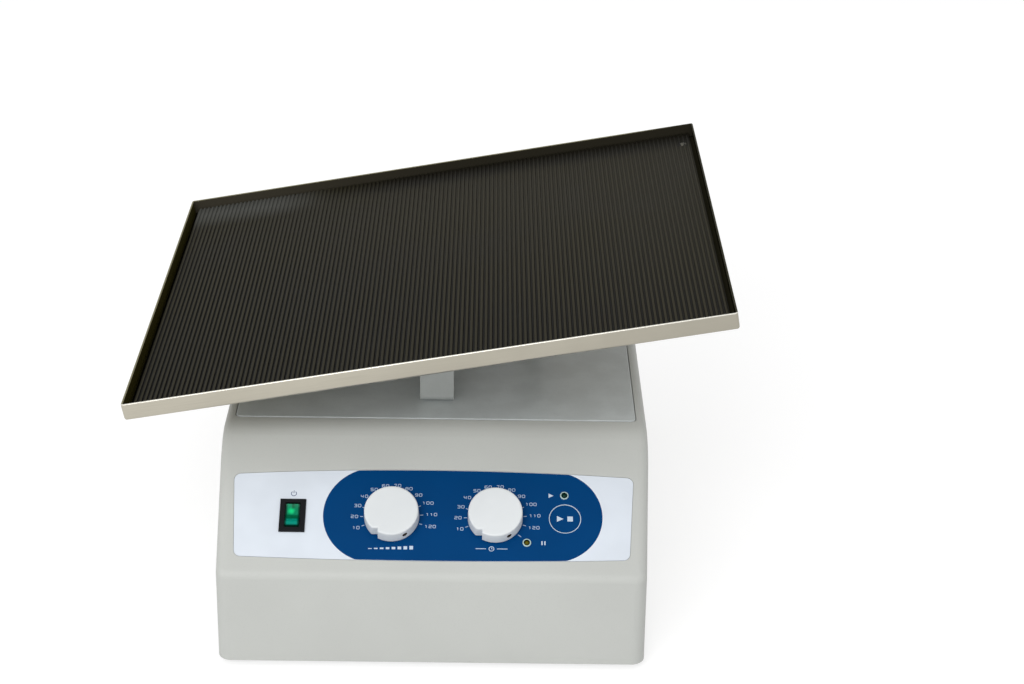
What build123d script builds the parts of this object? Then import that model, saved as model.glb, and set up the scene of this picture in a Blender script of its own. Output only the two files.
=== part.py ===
from build123d import *
from math import cos, radians, sin, sqrt, tan
import os

# Bench rocker: a ribbed tray tips about two upright posts over a sloping-panel housing.
# Millimetres. X runs to the right of the panel, Y away from the reader, Z up.
# The origin lies on the bench, under the middle of the tray.
# The tray is drawn at one end of its stroke, with its right side up.

# Housing
case_floor = 4.0                # lower edge above the bench
case_top = 115.0                # flat top around the metal deck
case_front = -199.0
case_rear = 131.0
case_width = 256.8              # across the side walls at the lower edge
case_front_width = 248.8        # across the front corners at the lower edge
case_waist = -125.0             # from here forwards the side walls draw in
case_draft = 0.75
case_wall = 3.0
case_top_wall = 5.0
fold_height = 62.0              # where the front wall meets the sloping panel
panel_slope = 32.0
brow_radius = 26.0              # bend between the panel and the flat top
rim_radius = 6.2                # soft edge all round the top, the panel and the fold
front_corner_radius = 8.0
rear_corner_radius = 12.0
waist_radius = 200.0

# Deck, let into the top of the housing
deck_width = 240.3
deck_depth = 211.2
deck_thickness = 2.0
deck_proud = 0.5                # of the housing's top
deck_corner_radius = 3.0
deck_edge_radius = 0.5
deck_gap = 0.6
deck_ledge = 6.5                # housing left under the deck's edge

# Floor plate and feet
floor_thickness = 2.0
floor_gap = 0.5
foot_height = 4.8
foot_radius = 11.0
foot_tip_radius = 9.5
foot_web = 1.4                  # rubber between the screw's head and the floor plate
foot_x = 98.0
foot_front_y = -168.0
foot_rear_y = 100.0
floor_bottom = foot_height
floor_top = floor_bottom + floor_thickness
vent_length = 30.0
vent_width = 4.0
vent_pitch = 9.0
vent_count = 6
vent_y = -95.0

# Screws: shank radius and head radius and height
base_screw_radius = 1.6
base_screw_head = 3.2
base_screw_head_height = 1.8
small_screw_radius = 1.5
small_screw_head = 2.8
small_screw_head_height = 1.6
post_screw_radius = 2.0
post_screw_head = 3.6
post_screw_head_height = 2.4

# Posts inside the housing's corners for its screws
boss_radius = 5.5
boss_height = 26.0
boss_front_x = 117.5
boss_front_y = -191.5
boss_rear_x = 120.5
boss_rear_y = 123.0
boss_hole_depth = 14.0

# Tray
stroke_half_angle = 10.35       # tilt of the tray at each end of its stroke
pivot_height = 154.5
tray_length = 356.0
tray_depth = 305.0
tray_lip = 10.5
tray_sheet = 1.2
tray_corner_radius = 1.6
tray_seat = 14.2                # tray's underside above the pivot axis

# Mat in the tray
rib_pitch = 2.9
rib_depth = 0.8
rib_crest = 1.5
rib_groove = 0.8
mat_gap = 2.0                   # least gap between the mat and the lips
mat_thickness = 4.0
mat_screw_inset_x = 9.5
mat_screw_inset_y = 22.5
mat_screw_hole = 3.4

# Frame under the tray
carrier_length = 150.0
carrier_sheet = 2.5
carrier_flange = 10.0
lug_width = 36.0
lug_radius = 9.0
lightening_radius = 16.0
lightening_y = 38.0
tray_stud_x = 58.0
tray_stud_y = 60.0
tray_stud_radius = 2.0
tray_stud_length = 7.5
tray_nut_size = 4.0
tray_nut_height = 3.2
stud_clearance = 0.2

# Posts and pivots
post_inset = 20.1               # of each post's outer face from the deck's edge
post_width = 20.4
post_sheet = 4.0
post_foot = 22.0
post_bend = 4.6
post_screw_spacing = 11.0
pivot_pin_radius = 4.0
running_gap = 0.04
bush_radius = 5.5
bush_flange_radius = 7.5
bush_flange = 1.2
side_gap = 0.3                  # between a turning piece and the one beside it
pivot_head_radius = 6.0
pivot_head = 2.5
clip_radius = 6.5
clip_thickness = 0.8
clip_gap = 0.4                  # between the clip and the post
pin_overrun = 0.8               # of the pin past its clip

# Drive: crank, rod and clevis
drive_arm = 60.0                # wrist pin from the tray's pivot
crank_z = 58.5                  # crank's axis above the bench
rod_thickness = 6.0
rod_width = 11.0
rod_top_radius = 7.0
rod_top_thickness = 9.0
rod_bottom_radius = 12.5
wrist_radius = 3.0
rod_bush_radius = 4.5
bearing_radius = 9.5
bearing_bore = 3.0
bearing_groove = 0.5
ear_thickness = 3.5
clevis_length = 22.0
clevis_depth = 40.0
clevis_base = 3.5
clevis_screw_y = 14.5
wrist_head_radius = 4.6
wrist_head = 1.8
crank_gap = 0.4                 # the crank pin stands short of the rod's bearing
crank_pin_radius = 3.0
crank_collar_radius = 5.0
crank_collar = 1.6
crank_disc_radius = 19.0
crank_disc_thickness = 6.0
crank_disc_near = 7.0           # near face of the disc behind the rod's middle
crank_hub_radius = 9.0
crank_hub = 9.0
shaft_radius = 4.0
shaft_in_gearbox = 14.0
slot_swing = 5.5                # room for the rod's swing on each side
slot_side_gap = 3.0

# Gear motor and its bracket
gearbox_offset = 7.0            # output shaft above the gearbox's middle
gearbox_radius = 18.5
gearbox_length = 25.0
gearbox_nose_radius = 7.0
motor_radius = 17.5
motor_length = 48.0
motor_tail_radius = 6.0
motor_tail = 2.5
terminal_width = 3.0
terminal_length = 4.0
terminal_drop = 11.0            # terminal block below the motor's middle
bracket_sheet = 2.5
bracket_width = 52.0
bracket_height = 72.0
bracket_foot = 40.0
bracket_gusset = 42.0
bracket_gap = 1.0               # behind the crank's hub

# Side frames that hold up the deck
chassis_x = 100.0
chassis_sheet = 2.0
chassis_front = -70.0
chassis_rear = 95.0
chassis_flange = 12.0
chassis_window = 58.0

# Power supply
transformer_x = -64.0
transformer_y = 71.0
core_width = 48.0
core_height = 40.0
core_depth = 18.0
core_leg = 16.0
core_window = 24.0
winding_overhang = 7.0
winding_gap = 0.2
power_board_x = -55.0
power_board_y = -12.0
power_board_width = 66.0
power_board_depth = 78.0
board_thickness = 1.6
power_board_height = 8.0        # above the floor plate
spacer_radius = 3.0
spacer_inset = 4.5
capacitor_radius = 6.5
capacitor_height = 22.0
capacitor_spacing = 18.0
capacitor_x = -63.0
capacitor_y = 10.0
block_size = 8.0                # terminal blocks and plugs on the boards
supply_block_x = -70.0
motor_block_y = 6.0
ribbon_x = -40.0

# Control panel, measured from the middle of its label
label_rise = 40.5               # middle of the label up the slope from the fold
label_height = 58.8
label_top_width = 234.8
label_bottom_width = 227.8
label_top_bulge = 3.8
label_bottom_bulge = 2.0
label_corner_radius = 4.0
label_thickness = 0.6
label_gap = 0.3
knob_y = -1.6
speed_x = -24.0
time_x = 36.2
switch_x = -81.7
switch_y = -1.5
key_x = 76.8
key_y = -1.4
run_x = 76.5
run_y = 13.6
hold_x = 54.6
hold_y = -17.2

# Knobs
knob_radius = 16.0
knob_top_radius = 15.7
knob_foot = 0.8
knob_height = 9.4
knob_edge_radius = 1.1
knob_skirt_wall = 2.2
knob_hollow = 5.0
knob_hub_radius = 6.0
knob_hub_gap = 0.3              # between the hub and the bushing under it
notch_x = -7.5                  # corner of the square notch, from the knob's middle
notch_y = -11.5
knob_travel = 300.0
knob_shaft_radius = 3.0
knob_bore_depth = 6.6
set_screw_radius = 1.5
set_screw_length = 10.0
set_screw_rise = 5.0
set_screw_angle = -149.0        # anticlockwise from the knob's top
pot_radius = 8.5
pot_depth = 8.6
pot_bushing_radius = 3.75
pot_bushing_top = 3.0
pot_nut_size = 5.0
pot_nut_height = 1.8
shaft_start = -7.0

# Power switch
bezel_width = 15.0
bezel_height = 21.0
bezel_thickness = 1.6
bezel_edge = 0.6
switch_body_width = 13.2
switch_body_height = 19.2
switch_body_depth = 19.0
switch_opening_width = 8.8
switch_pocket_depth = 9.0
rocker_radius = 7.6             # its ends turn on this radius
rocker_gap = 0.3
rocker_axis = -1.6              # hinge axis below the panel's face
rocker_tilt = 9.0
rocker_end_height = 4.4
rocker_valley_height = 2.6
rocker_bottom = 4.2
trunnion_radius = 1.2
trunnion_length = 0.9
terminal_blade = 4.8
terminal_blade_thickness = 0.8
terminal_blade_length = 7.0
terminal_blade_spacing = 6.4

# Key and lamps
key_radius = 8.75
key_gap = 0.2
key_thickness = 0.8
key_stem_radius = 2.5
key_stem_end = 6.0              # below the panel's face
key_travel = 0.5
key_rest_gap = 0.05             # left over the plunger when the key is down
key_switch_size = 6.0
key_switch_height = 4.0
key_plunger_radius = 1.7
lamp_radius = 1.5
lamp_rise = 0.9
lamp_gap = 0.2
ring_radius = 2.5
ring_rise = 0.7
ring_sleeve = 2.05
ring_edge = 0.25
lamp_holder_radius = 2.4

# Control board behind the panel
board_depth = 11.6              # board's face below the panel's face
board_left = -48.0
board_right = 102.0
board_low = -27.0
board_high = 22.0
board_boss_radius = 3.2
board_boss_inset = 5.0
board_screw_grip = 6.0          # of the board's screws in their posts
ribbon_plug_y = -12.0
ribbon_plug_depth = 5.0

# Mains inlet in the rear wall
inlet_x = -64.0
inlet_z = 38.0
inlet_recess = 1.2
flange_width = 50.0
flange_height = 24.0
flange_thickness = 2.4
inlet_screw_spacing = 40.0
socket_width = 24.6
socket_height = 16.4
socket_depth = 17.0
socket_corner = 5.0
socket_wall = 1.6
flange_corner = 3.0
inlet_screw_grip = 6.0
pin_width = 4.0
pin_thickness = 2.0
pin_length = 15.0
pin_spacing = 7.0
pin_offset = 2.0
pin_tail = 8.0

# Leads inside
bend_share = 0.45               # of the shorter run that each bend takes
lead_radius = 2.2
lead_lane_x = -93.0             # beside the transformer and the power board
lead_lane_z = 36.0
lead_start = 19.0               # straight run from each switch terminal
ribbon_width = 16.0
ribbon_thickness = 1.0

# Worked out from the values above
deck_top = case_top + deck_proud
deck_bottom = deck_top - deck_thickness
slope = radians(panel_slope)
tilt = radians(stroke_half_angle)
wrist_x = drive_arm * cos(tilt)
wrist_z = pivot_height + drive_arm * sin(tilt)
rod_length = pivot_height - crank_z
crank_pin_z = wrist_z - rod_length
disc_far = crank_disc_near + crank_disc_thickness
hub_far = disc_far + crank_hub
bracket_y = hub_far + bracket_gap
gearbox_y = bracket_y + bracket_sheet
gearbox_z = crank_z - gearbox_offset
motor_y = gearbox_y + gearbox_length
motor_terminal_z = gearbox_z - terminal_drop
post_face = deck_depth / 2 - post_inset
carrier_end = post_face - post_sheet - bush_flange - side_gap
mat_depth = tray_depth - 2 * (tray_sheet + mat_gap)
rib_count = int((tray_length - 2 * (tray_sheet + mat_gap)) / rib_pitch)
mat_screw_x = tray_length / 2 - mat_screw_inset_x
mat_screw_y = tray_depth / 2 - mat_screw_inset_y
power_board_bottom = floor_top + power_board_height
power_board_top = power_board_bottom + board_thickness
block_z = power_board_top + block_size / 2
power_board_front = power_board_y - power_board_depth / 2
power_board_right = power_board_x + power_board_width / 2

# Level plane of the tipped tray, with its origin on the pivot axis
platform = Plane(
    origin=(0, 0, pivot_height),
    x_dir=(cos(tilt), 0, sin(tilt)),
    z_dir=(-sin(tilt), 0, cos(tilt)),
)
# Face of the control panel, with its origin in the middle of the label
panel = Plane(
    origin=(0, case_front + label_rise * cos(slope), fold_height + label_rise * sin(slope)),
    x_dir=(1, 0, 0),
    z_dir=(0, -sin(slope), cos(slope)),
)
outward = Axis(panel.origin, panel.z_dir)


def tipped_upright(y):
    """Upright plane square to the pivot axis at y, its X along the tipped tray."""
    return Plane(origin=(0, y, pivot_height), x_dir=platform.x_dir, z_dir=(0, -1, 0))


def lead_path(points):
    """Straight runs through the points, joined by tangent bends."""
    start = Vector(*points[0])
    with BuildLine() as path:
        for corner, after in zip(points[1:], points[2:]):
            corner = Vector(*corner)
            run_in = corner - start
            run_out = Vector(*after) - corner
            cut = bend_share * min(run_in.length, run_out.length)
            bend_start = corner - run_in.normalized() * cut
            bend_end = corner + run_out.normalized() * cut
            Line(start, bend_start)
            TangentArc(bend_start, bend_end, tangent=run_in)
            start = bend_end
        Line(start, points[-1])
    return path.wire()


def path_start(points):
    """Plane across the first run of a lead, its X level."""
    run = Vector(*points[1]) - Vector(*points[0])
    across = (1, 0, 0) if abs(run.X) < run.length / 2 else (0, 1, 0)
    return Plane(origin=points[0], x_dir=across, z_dir=run)


def panel_point(x, y, rise):
    """Point of the room at x, y of the panel and rise above its face."""
    return tuple(panel.from_local_coords((x, y, rise)))


def knob_ray(spot, angle):
    """Plane through a knob's axis, facing outwards at an angle anticlockwise from the top."""
    turn = radians(90 + angle)
    centre = panel.from_local_coords((spot[0], spot[1], set_screw_rise))
    ahead = panel.from_local_coords((spot[0] + cos(turn), spot[1] + sin(turn), set_screw_rise))
    return Plane(origin=centre, x_dir=panel.z_dir, z_dir=ahead - centre)


def save(piece, name):
    """Label a finished piece and write its file."""
    piece.part.label = name
    export_step(piece.part, f"parts/{name}.step")


def hexagon_nut(plane, spots, across, height, bore):
    """Group of equal nuts standing on a plane."""
    with BuildPart() as nuts:
        with BuildSketch(plane):
            with Locations(*spots):
                RegularPolygon(across, 6)
                Circle(bore, mode=Mode.SUBTRACT)
        extrude(amount=height)
    return nuts


def screws(plane, spots, shank_radius, shank, head_radius, head):
    """Group of equal screws: heads stand on the plane, shanks go below it."""
    with BuildPart() as group:
        with BuildSketch(plane):
            with Locations(*spots):
                Circle(head_radius)
        extrude(amount=head)
        with BuildSketch(plane):
            with Locations(*spots):
                Circle(shank_radius)
        extrude(amount=-shank)
    return group


# Housing


def housing_outline(inset):
    """Plan of the housing at its lower edge, drawn in by inset on every side."""
    side = case_width / 2 - inset
    front_side = case_front_width / 2 - inset
    front = case_front + inset
    rear = case_rear - inset
    with BuildSketch() as outline:
        with BuildLine():
            Polyline(
                (-front_side, front),
                (front_side, front),
                (side, case_waist),
                (side, rear),
                (-side, rear),
                (-side, case_waist),
                close=True,
            )
        make_face()
        fillet(outline.vertices().group_by(Axis.Y)[0], front_corner_radius - inset)
        fillet(outline.vertices().group_by(Axis.Y)[-1], rear_corner_radius - inset)
        waist = outline.vertices().filter_by_position(Axis.Y, case_waist - 1, case_waist + 1)
        fillet(waist, waist_radius)
    return outline.sketch


def housing_form(inset, top_wall):
    """Closed form of the housing, drawn in by inset from its walls and by top_wall from its top."""
    top = case_top - top_wall
    rise = tan(slope)
    sill = fold_height - inset / cos(slope)
    brow = case_front + (top - sill) / rise
    reach = 30.0
    margin = 10.0
    with BuildPart() as form:
        with BuildSketch(Plane.XY.offset(case_floor)):
            add(housing_outline(inset))
        extrude(amount=case_top, taper=case_draft)
        with BuildSketch(Plane.YZ) as profile:
            with BuildLine():
                Polyline(
                    (case_front - reach, 0),
                    (case_rear + reach, 0),
                    (case_rear + reach, top),
                    (brow, top),
                    (case_front - reach, sill - reach * rise),
                    close=True,
                )
            make_face()
            fillet(profile.vertices().sort_by_distance((brow, top))[0], brow_radius - inset)
        extrude(amount=case_width, both=True, mode=Mode.INTERSECT)
        high = form.edges().filter_by(lambda e: e.bounding_box().min.Z > sill - 3)
        inner = high.filter_by(Axis.X).filter_by_position(Axis.Y, case_front + margin, case_rear - margin)
        fillet([e for e in high if e not in inner], rim_radius - inset)
    return form.part


def label_outline(grow):
    """Barrel shape of the panel's label: bulging top and bottom, ends that lean outwards."""
    top_x = label_top_width / 2 + grow
    bottom_x = label_bottom_width / 2 + grow
    top_y = label_height / 2 + grow
    bottom_y = -label_height / 2 - grow
    with BuildSketch() as outline:
        with BuildLine():
            ThreePointArc((-top_x, top_y - label_top_bulge), (0, top_y), (top_x, top_y - label_top_bulge))
            Line((top_x, top_y - label_top_bulge), (bottom_x, bottom_y + label_bottom_bulge))
            ThreePointArc(
                (bottom_x, bottom_y + label_bottom_bulge),
                (0, bottom_y),
                (-bottom_x, bottom_y + label_bottom_bulge),
            )
            Line((-bottom_x, bottom_y + label_bottom_bulge), (-top_x, top_y - label_top_bulge))
        make_face()
        fillet(outline.vertices(), label_corner_radius + grow)
    return outline.sketch


knob_spots = [(speed_x, knob_y), (time_x, knob_y)]
lamp_spots = [(run_x, run_y), (hold_x, hold_y)]
key_spot = (key_x, key_y)
switch_spot = (switch_x, switch_y)
board_boss_spots = [
    (x, y)
    for x in (board_left + board_boss_inset, board_right - board_boss_inset)
    for y in (board_low + board_boss_inset, board_high - board_boss_inset)
]
boss_spots = [
    (side * x, y)
    for side in (-1, 1)
    for x, y in ((boss_front_x, boss_front_y), (boss_rear_x, boss_rear_y))
]
foot_spots = [(side * foot_x, y) for side in (-1, 1) for y in (foot_front_y, foot_rear_y)]
inlet_face = Plane(
    origin=(inlet_x, case_rear - inlet_recess, inlet_z), x_dir=(-1, 0, 0), z_dir=(0, 1, 0)
)
inlet_screw_spots = [(-inlet_screw_spacing / 2, 0), (inlet_screw_spacing / 2, 0)]
spacer_spots = [
    (power_board_x + side * (power_board_width / 2 - spacer_inset), power_board_y + end * y)
    for y in (power_board_depth / 2 - spacer_inset,)
    for side in (-1, 1)
    for end in (-1, 1)
]
rebate_depth = case_top - deck_bottom
opening_width = deck_width + 2 * deck_gap
opening_depth = deck_depth + 2 * deck_gap

os.makedirs("parts", exist_ok=True)

outer_form = housing_form(0, 0)
cavity_form = housing_form(case_wall, case_top_wall)

with BuildPart() as case_shell:
    add(outer_form)
    add(cavity_form, mode=Mode.SUBTRACT)
    # Rebate for the deck, and the opening under it
    with BuildSketch(Plane.XY.offset(deck_bottom)):
        RectangleRounded(opening_width, opening_depth, deck_corner_radius + deck_gap)
    extrude(amount=2 * rebate_depth, mode=Mode.SUBTRACT)
    with BuildSketch(Plane.XY.offset(deck_bottom)):
        RectangleRounded(opening_width - 2 * deck_ledge, opening_depth - 2 * deck_ledge, deck_corner_radius)
    extrude(amount=-case_top_wall, mode=Mode.SUBTRACT)
    # Posts for the housing's screws, in its corners
    with BuildSketch(Plane.XY.offset(floor_top)):
        with Locations(*boss_spots):
            Circle(boss_radius)
    extrude(amount=boss_height)
    with BuildSketch(Plane.XY.offset(floor_top)):
        with Locations(*boss_spots):
            Circle(base_screw_radius)
    extrude(amount=boss_hole_depth, mode=Mode.SUBTRACT)
    # Posts for the control board, behind the panel
    with BuildSketch(panel.offset(-case_wall + 0.5)):
        with Locations(*board_boss_spots):
            Circle(board_boss_radius)
    extrude(amount=case_wall - 0.5 - board_depth)
    with BuildSketch(panel.offset(-board_depth)):
        with Locations(*board_boss_spots):
            Circle(small_screw_radius)
    extrude(amount=board_depth - case_wall, mode=Mode.SUBTRACT)
    # Recess for the label, and the holes behind it
    with BuildSketch(panel.offset(-label_thickness)):
        add(label_outline(label_gap))
    extrude(amount=2 * label_thickness, mode=Mode.SUBTRACT)
    with BuildSketch(panel):
        with Locations(*knob_spots):
            Circle(pot_bushing_radius + key_gap)
        with Locations(*lamp_spots):
            Circle(ring_sleeve + 0.1)
        with Locations(key_spot):
            Circle(key_stem_radius + key_gap)
        with Locations(switch_spot):
            Rectangle(switch_body_width + key_gap, switch_body_height + key_gap)
    extrude(amount=-2 * case_wall, mode=Mode.SUBTRACT)
    with BuildSketch(panel):
        with Locations(key_spot):
            Circle(key_radius + key_gap)
    extrude(amount=-(key_thickness + key_travel + 0.1), mode=Mode.SUBTRACT)
    # Seat and opening of the mains inlet
    with BuildSketch(inlet_face):
        Rectangle(flange_width + 2 * key_gap, flange_height + 2 * key_gap)
    extrude(amount=2 * inlet_recess, mode=Mode.SUBTRACT)
    with BuildSketch(inlet_face):
        Rectangle(socket_width + 2 * (socket_wall + key_gap), socket_height + 2 * (socket_wall + key_gap))
        with Locations(*inlet_screw_spots):
            Circle(small_screw_radius + 0.1)
    extrude(amount=-2 * case_wall, mode=Mode.SUBTRACT)
save(case_shell, "case_shell")

# Floor plate, feet and their screws

with BuildPart() as floor_plate:
    with BuildSketch(Plane.XY.offset(floor_bottom)):
        add(housing_outline(case_wall + floor_gap))
        with Locations(*boss_spots, *foot_spots):
            Circle(base_screw_radius + 0.1, mode=Mode.SUBTRACT)
        with Locations((0, vent_y)):
            with GridLocations(vent_pitch, 0, vent_count, 1):
                SlotOverall(vent_length, vent_width, rotation=90, mode=Mode.SUBTRACT)
    extrude(amount=floor_thickness)
    # Pressed-in spacers for the power board
    with BuildSketch(Plane.XY.offset(floor_bottom)):
        with Locations(*spacer_spots):
            Circle(spacer_radius)
    extrude(amount=power_board_bottom - floor_bottom)
    with BuildSketch(Plane.XY.offset(floor_top)):
        with Locations(*spacer_spots):
            Circle(small_screw_radius)
    extrude(amount=power_board_height, mode=Mode.SUBTRACT)
save(floor_plate, "floor_plate")

with BuildPart() as rubber_feet:
    with Locations(*foot_spots):
        Cone(foot_tip_radius, foot_radius, foot_height, align=(Align.CENTER, Align.CENTER, Align.MIN))
    with BuildSketch():
        with Locations(*foot_spots):
            Circle(base_screw_head + 0.6)
    extrude(amount=foot_height - foot_web, mode=Mode.SUBTRACT)
    with BuildSketch():
        with Locations(*foot_spots):
            Circle(base_screw_radius + 0.1)
    extrude(amount=foot_height, mode=Mode.SUBTRACT)
save(rubber_feet, "rubber_feet")

face_down = Plane(origin=(0, 0, 0), x_dir=(1, 0, 0), z_dir=(0, 0, -1))
foot_screws = screws(
    face_down.offset(foot_web - foot_height),
    [(x, -y) for x, y in foot_spots],
    base_screw_radius,
    foot_web + floor_thickness,
    base_screw_head,
    base_screw_head_height,
)
case_screws = screws(
    face_down.offset(-floor_bottom),
    [(x, -y) for x, y in boss_spots],
    base_screw_radius,
    floor_thickness + boss_hole_depth - 2,
    base_screw_head,
    base_screw_head_height,
)
with BuildPart() as base_screws:
    add(foot_screws.part)
    add(case_screws.part)
save(base_screws, "base_screws")

# Deck and the frames that carry it

post_screw_spots = [
    (x, side * (post_face - post_foot * 0.7))
    for side in (-1, 1)
    for x in (-post_screw_spacing / 2, post_screw_spacing / 2)
]
slot_length = rod_width + 2 * slot_swing + 2
slot_breadth = rod_thickness + 2 * slot_side_gap

with BuildPart() as deck_plate:
    with BuildSketch(Plane.XY.offset(deck_bottom)):
        RectangleRounded(deck_width, deck_depth, deck_corner_radius)
        with Locations((wrist_x, 0)):
            SlotOverall(slot_length, slot_breadth, mode=Mode.SUBTRACT)
        with Locations(*post_screw_spots):
            Circle(post_screw_radius + 0.1, mode=Mode.SUBTRACT)
    extrude(amount=deck_thickness)
    deck_rim = deck_plate.faces().sort_by(Axis.Z)[-1].outer_wire().edges()
    fillet(deck_rim, deck_edge_radius)
save(deck_plate, "deck_plate")

for side, name in ((-1, "chassis_left"), (1, "chassis_right")):
    with BuildPart() as chassis:
        chassis_middle = ((chassis_front + chassis_rear) / 2, (floor_top + deck_bottom) / 2)
        chassis_run = chassis_rear - chassis_front
        with BuildSketch(Plane.YZ.offset(side * chassis_x)):
            with Locations(chassis_middle):
                Rectangle(chassis_run, deck_bottom - floor_top)
                RectangleRounded(chassis_run - 50, chassis_window, 10, mode=Mode.SUBTRACT)
        extrude(amount=-side * chassis_sheet)
        for height in (floor_top, deck_bottom - chassis_sheet):
            with BuildSketch(Plane.XY.offset(height)):
                with Locations((side * (chassis_x - chassis_flange / 2), chassis_middle[0])):
                    Rectangle(chassis_flange, chassis_run)
            extrude(amount=chassis_sheet)
    save(chassis, name)

# Posts, bushes and pivot pins

for side, name in ((-1, "pivot_post_front"), (1, "pivot_post_rear")):
    with BuildPart() as post:
        with BuildSketch(Plane.XZ.offset(-side * post_face)):
            with Locations((0, (deck_top + pivot_height) / 2)):
                Rectangle(post_width, pivot_height - deck_top)
            with Locations((0, pivot_height)):
                Circle(post_width / 2)
                Circle(bush_radius, mode=Mode.SUBTRACT)
        extrude(amount=side * post_sheet)
        with BuildSketch(Plane.XY.offset(deck_top)):
            with Locations((0, side * (post_face - post_foot / 2))):
                Rectangle(post_width, post_foot)
            with Locations(*[spot for spot in post_screw_spots if spot[1] * side > 0]):
                Circle(post_screw_radius + 0.1, mode=Mode.SUBTRACT)
        extrude(amount=post_sheet)
        across = post.edges().filter_by(Axis.X)
        outer_bend = across.sort_by_distance((0, side * post_face, deck_top))[0]
        inner_bend = across.sort_by_distance((0, side * (post_face - post_sheet), deck_top + post_sheet))[0]
        fillet(outer_bend, post_bend)
        fillet(inner_bend, post_bend - post_sheet)
    save(post, name)

post_screw_group = screws(
    Plane.XY.offset(deck_top + post_sheet),
    post_screw_spots,
    post_screw_radius,
    post_sheet + deck_thickness + 1,
    post_screw_head,
    post_screw_head_height,
)
save(post_screw_group, "post_screws")

with BuildPart() as pivot_bushes:
    for side in (-1, 1):
        with BuildSketch(Plane.XZ.offset(-side * post_face)):
            with Locations((0, pivot_height)):
                Circle(bush_radius)
        extrude(amount=side * post_sheet)
        with BuildSketch(Plane.XZ.offset(-side * (post_face - post_sheet))):
            with Locations((0, pivot_height)):
                Circle(bush_flange_radius)
        extrude(amount=side * bush_flange)
    with BuildSketch(Plane.XZ):
        with Locations((0, pivot_height)):
            Circle(pivot_pin_radius + running_gap)
    extrude(amount=post_face, both=True, mode=Mode.SUBTRACT)
save(pivot_bushes, "pivot_bushes")

pin_end = post_face + clip_gap + clip_thickness + pin_overrun

with BuildPart() as pivot_pins:
    for side in (-1, 1):
        with BuildSketch(tipped_upright(side * (carrier_end - carrier_sheet))):
            Circle(pivot_pin_radius)
        extrude(amount=-side * (pin_end - carrier_end + carrier_sheet))
        with BuildSketch(tipped_upright(side * (carrier_end - carrier_sheet))):
            Circle(pivot_head_radius)
        extrude(amount=side * pivot_head)
save(pivot_pins, "pivot_pins")

with BuildPart() as pivot_clips:
    for side in (-1, 1):
        with BuildSketch(tipped_upright(side * (post_face + clip_gap))):
            Circle(clip_radius)
            Circle(pivot_pin_radius, mode=Mode.SUBTRACT)
        extrude(amount=-side * clip_thickness)
save(pivot_clips, "pivot_clips")

# Tray, mat and the frame under them

tray_stud_spots = [(x, y) for x in (-tray_stud_x, tray_stud_x) for y in (-tray_stud_y, tray_stud_y)]

with BuildPart() as tray:
    with BuildSketch(platform.offset(tray_seat)):
        RectangleRounded(tray_length, tray_depth, tray_corner_radius)
    extrude(amount=tray_lip)
    with BuildSketch(platform.offset(tray_seat + tray_sheet)):
        RectangleRounded(
            tray_length - 2 * tray_sheet, tray_depth - 2 * tray_sheet, tray_corner_radius - tray_sheet
        )
    extrude(amount=tray_lip, mode=Mode.SUBTRACT)
    with BuildSketch(platform.offset(tray_seat)):
        with Locations(*tray_stud_spots):
            Circle(tray_stud_radius)
    extrude(amount=-tray_stud_length)
save(tray, "tray")

mat_length = rib_pitch * rib_count
rib_side = (rib_pitch - rib_crest - rib_groove) / 2
mat_top = tray_seat + tray_sheet + mat_thickness
mat_profile = [(-mat_length / 2, mat_top - mat_thickness)]
for rib in range(rib_count):
    rib_start = -mat_length / 2 + rib * rib_pitch + rib_groove / 2
    mat_profile += [
        (rib_start, mat_top - rib_depth),
        (rib_start + rib_side, mat_top),
        (rib_start + rib_side + rib_crest, mat_top),
        (rib_start + 2 * rib_side + rib_crest, mat_top - rib_depth),
    ]
mat_profile += [
    (mat_length / 2, mat_top - rib_depth),
    (mat_length / 2, mat_top - mat_thickness),
]
mat_profile.insert(1, (-mat_length / 2, mat_top - rib_depth))

with BuildPart() as rubber_mat:
    with BuildSketch(tipped_upright(0)):
        with BuildLine():
            Polyline(*mat_profile, close=True)
        make_face()
    extrude(amount=mat_depth / 2, both=True)
    with BuildSketch(platform.offset(mat_top)):
        with Locations((mat_screw_x, mat_screw_y)):
            Circle(mat_screw_hole)
    extrude(amount=-mat_thickness, mode=Mode.SUBTRACT)
save(rubber_mat, "rubber_mat")

with BuildPart() as mat_screw:
    with BuildSketch(platform.offset(tray_seat + tray_sheet)):
        with Locations((mat_screw_x, mat_screw_y)):
            Circle(small_screw_head)
    extrude(amount=mat_thickness + 0.2)
    fillet(mat_screw.edges().group_by(Axis.Z)[-1], 0.6)
save(mat_screw, "mat_screw")

carrier_under = tray_seat - carrier_sheet
clevis_screw_spots = [(drive_arm, -clevis_screw_y), (drive_arm, clevis_screw_y)]

with BuildPart() as tray_carrier:
    with BuildSketch(platform.offset(tray_seat)):
        Rectangle(carrier_length, 2 * carrier_end)
        with Locations(*tray_stud_spots):
            Circle(tray_stud_radius + stud_clearance, mode=Mode.SUBTRACT)
        with Locations(*clevis_screw_spots):
            Circle(small_screw_radius + 0.1, mode=Mode.SUBTRACT)
        with Locations((0, -lightening_y), (0, lightening_y)):
            Circle(lightening_radius, mode=Mode.SUBTRACT)
    extrude(amount=-carrier_sheet)
    with BuildSketch(platform.offset(tray_seat)):
        with Locations(
            (carrier_sheet / 2 - carrier_length / 2, 0), (carrier_length / 2 - carrier_sheet / 2, 0)
        ):
            Rectangle(carrier_sheet, 2 * carrier_end)
    extrude(amount=-carrier_flange)
    for side in (-1, 1):
        with BuildSketch(tipped_upright(side * carrier_end)):
            Circle(lug_radius)
            with Locations((0, tray_seat - carrier_sheet / 2)):
                Rectangle(lug_width, carrier_sheet)
            make_hull()
            Circle(pivot_pin_radius, mode=Mode.SUBTRACT)
        extrude(amount=side * carrier_sheet)
save(tray_carrier, "tray_carrier")

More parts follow.
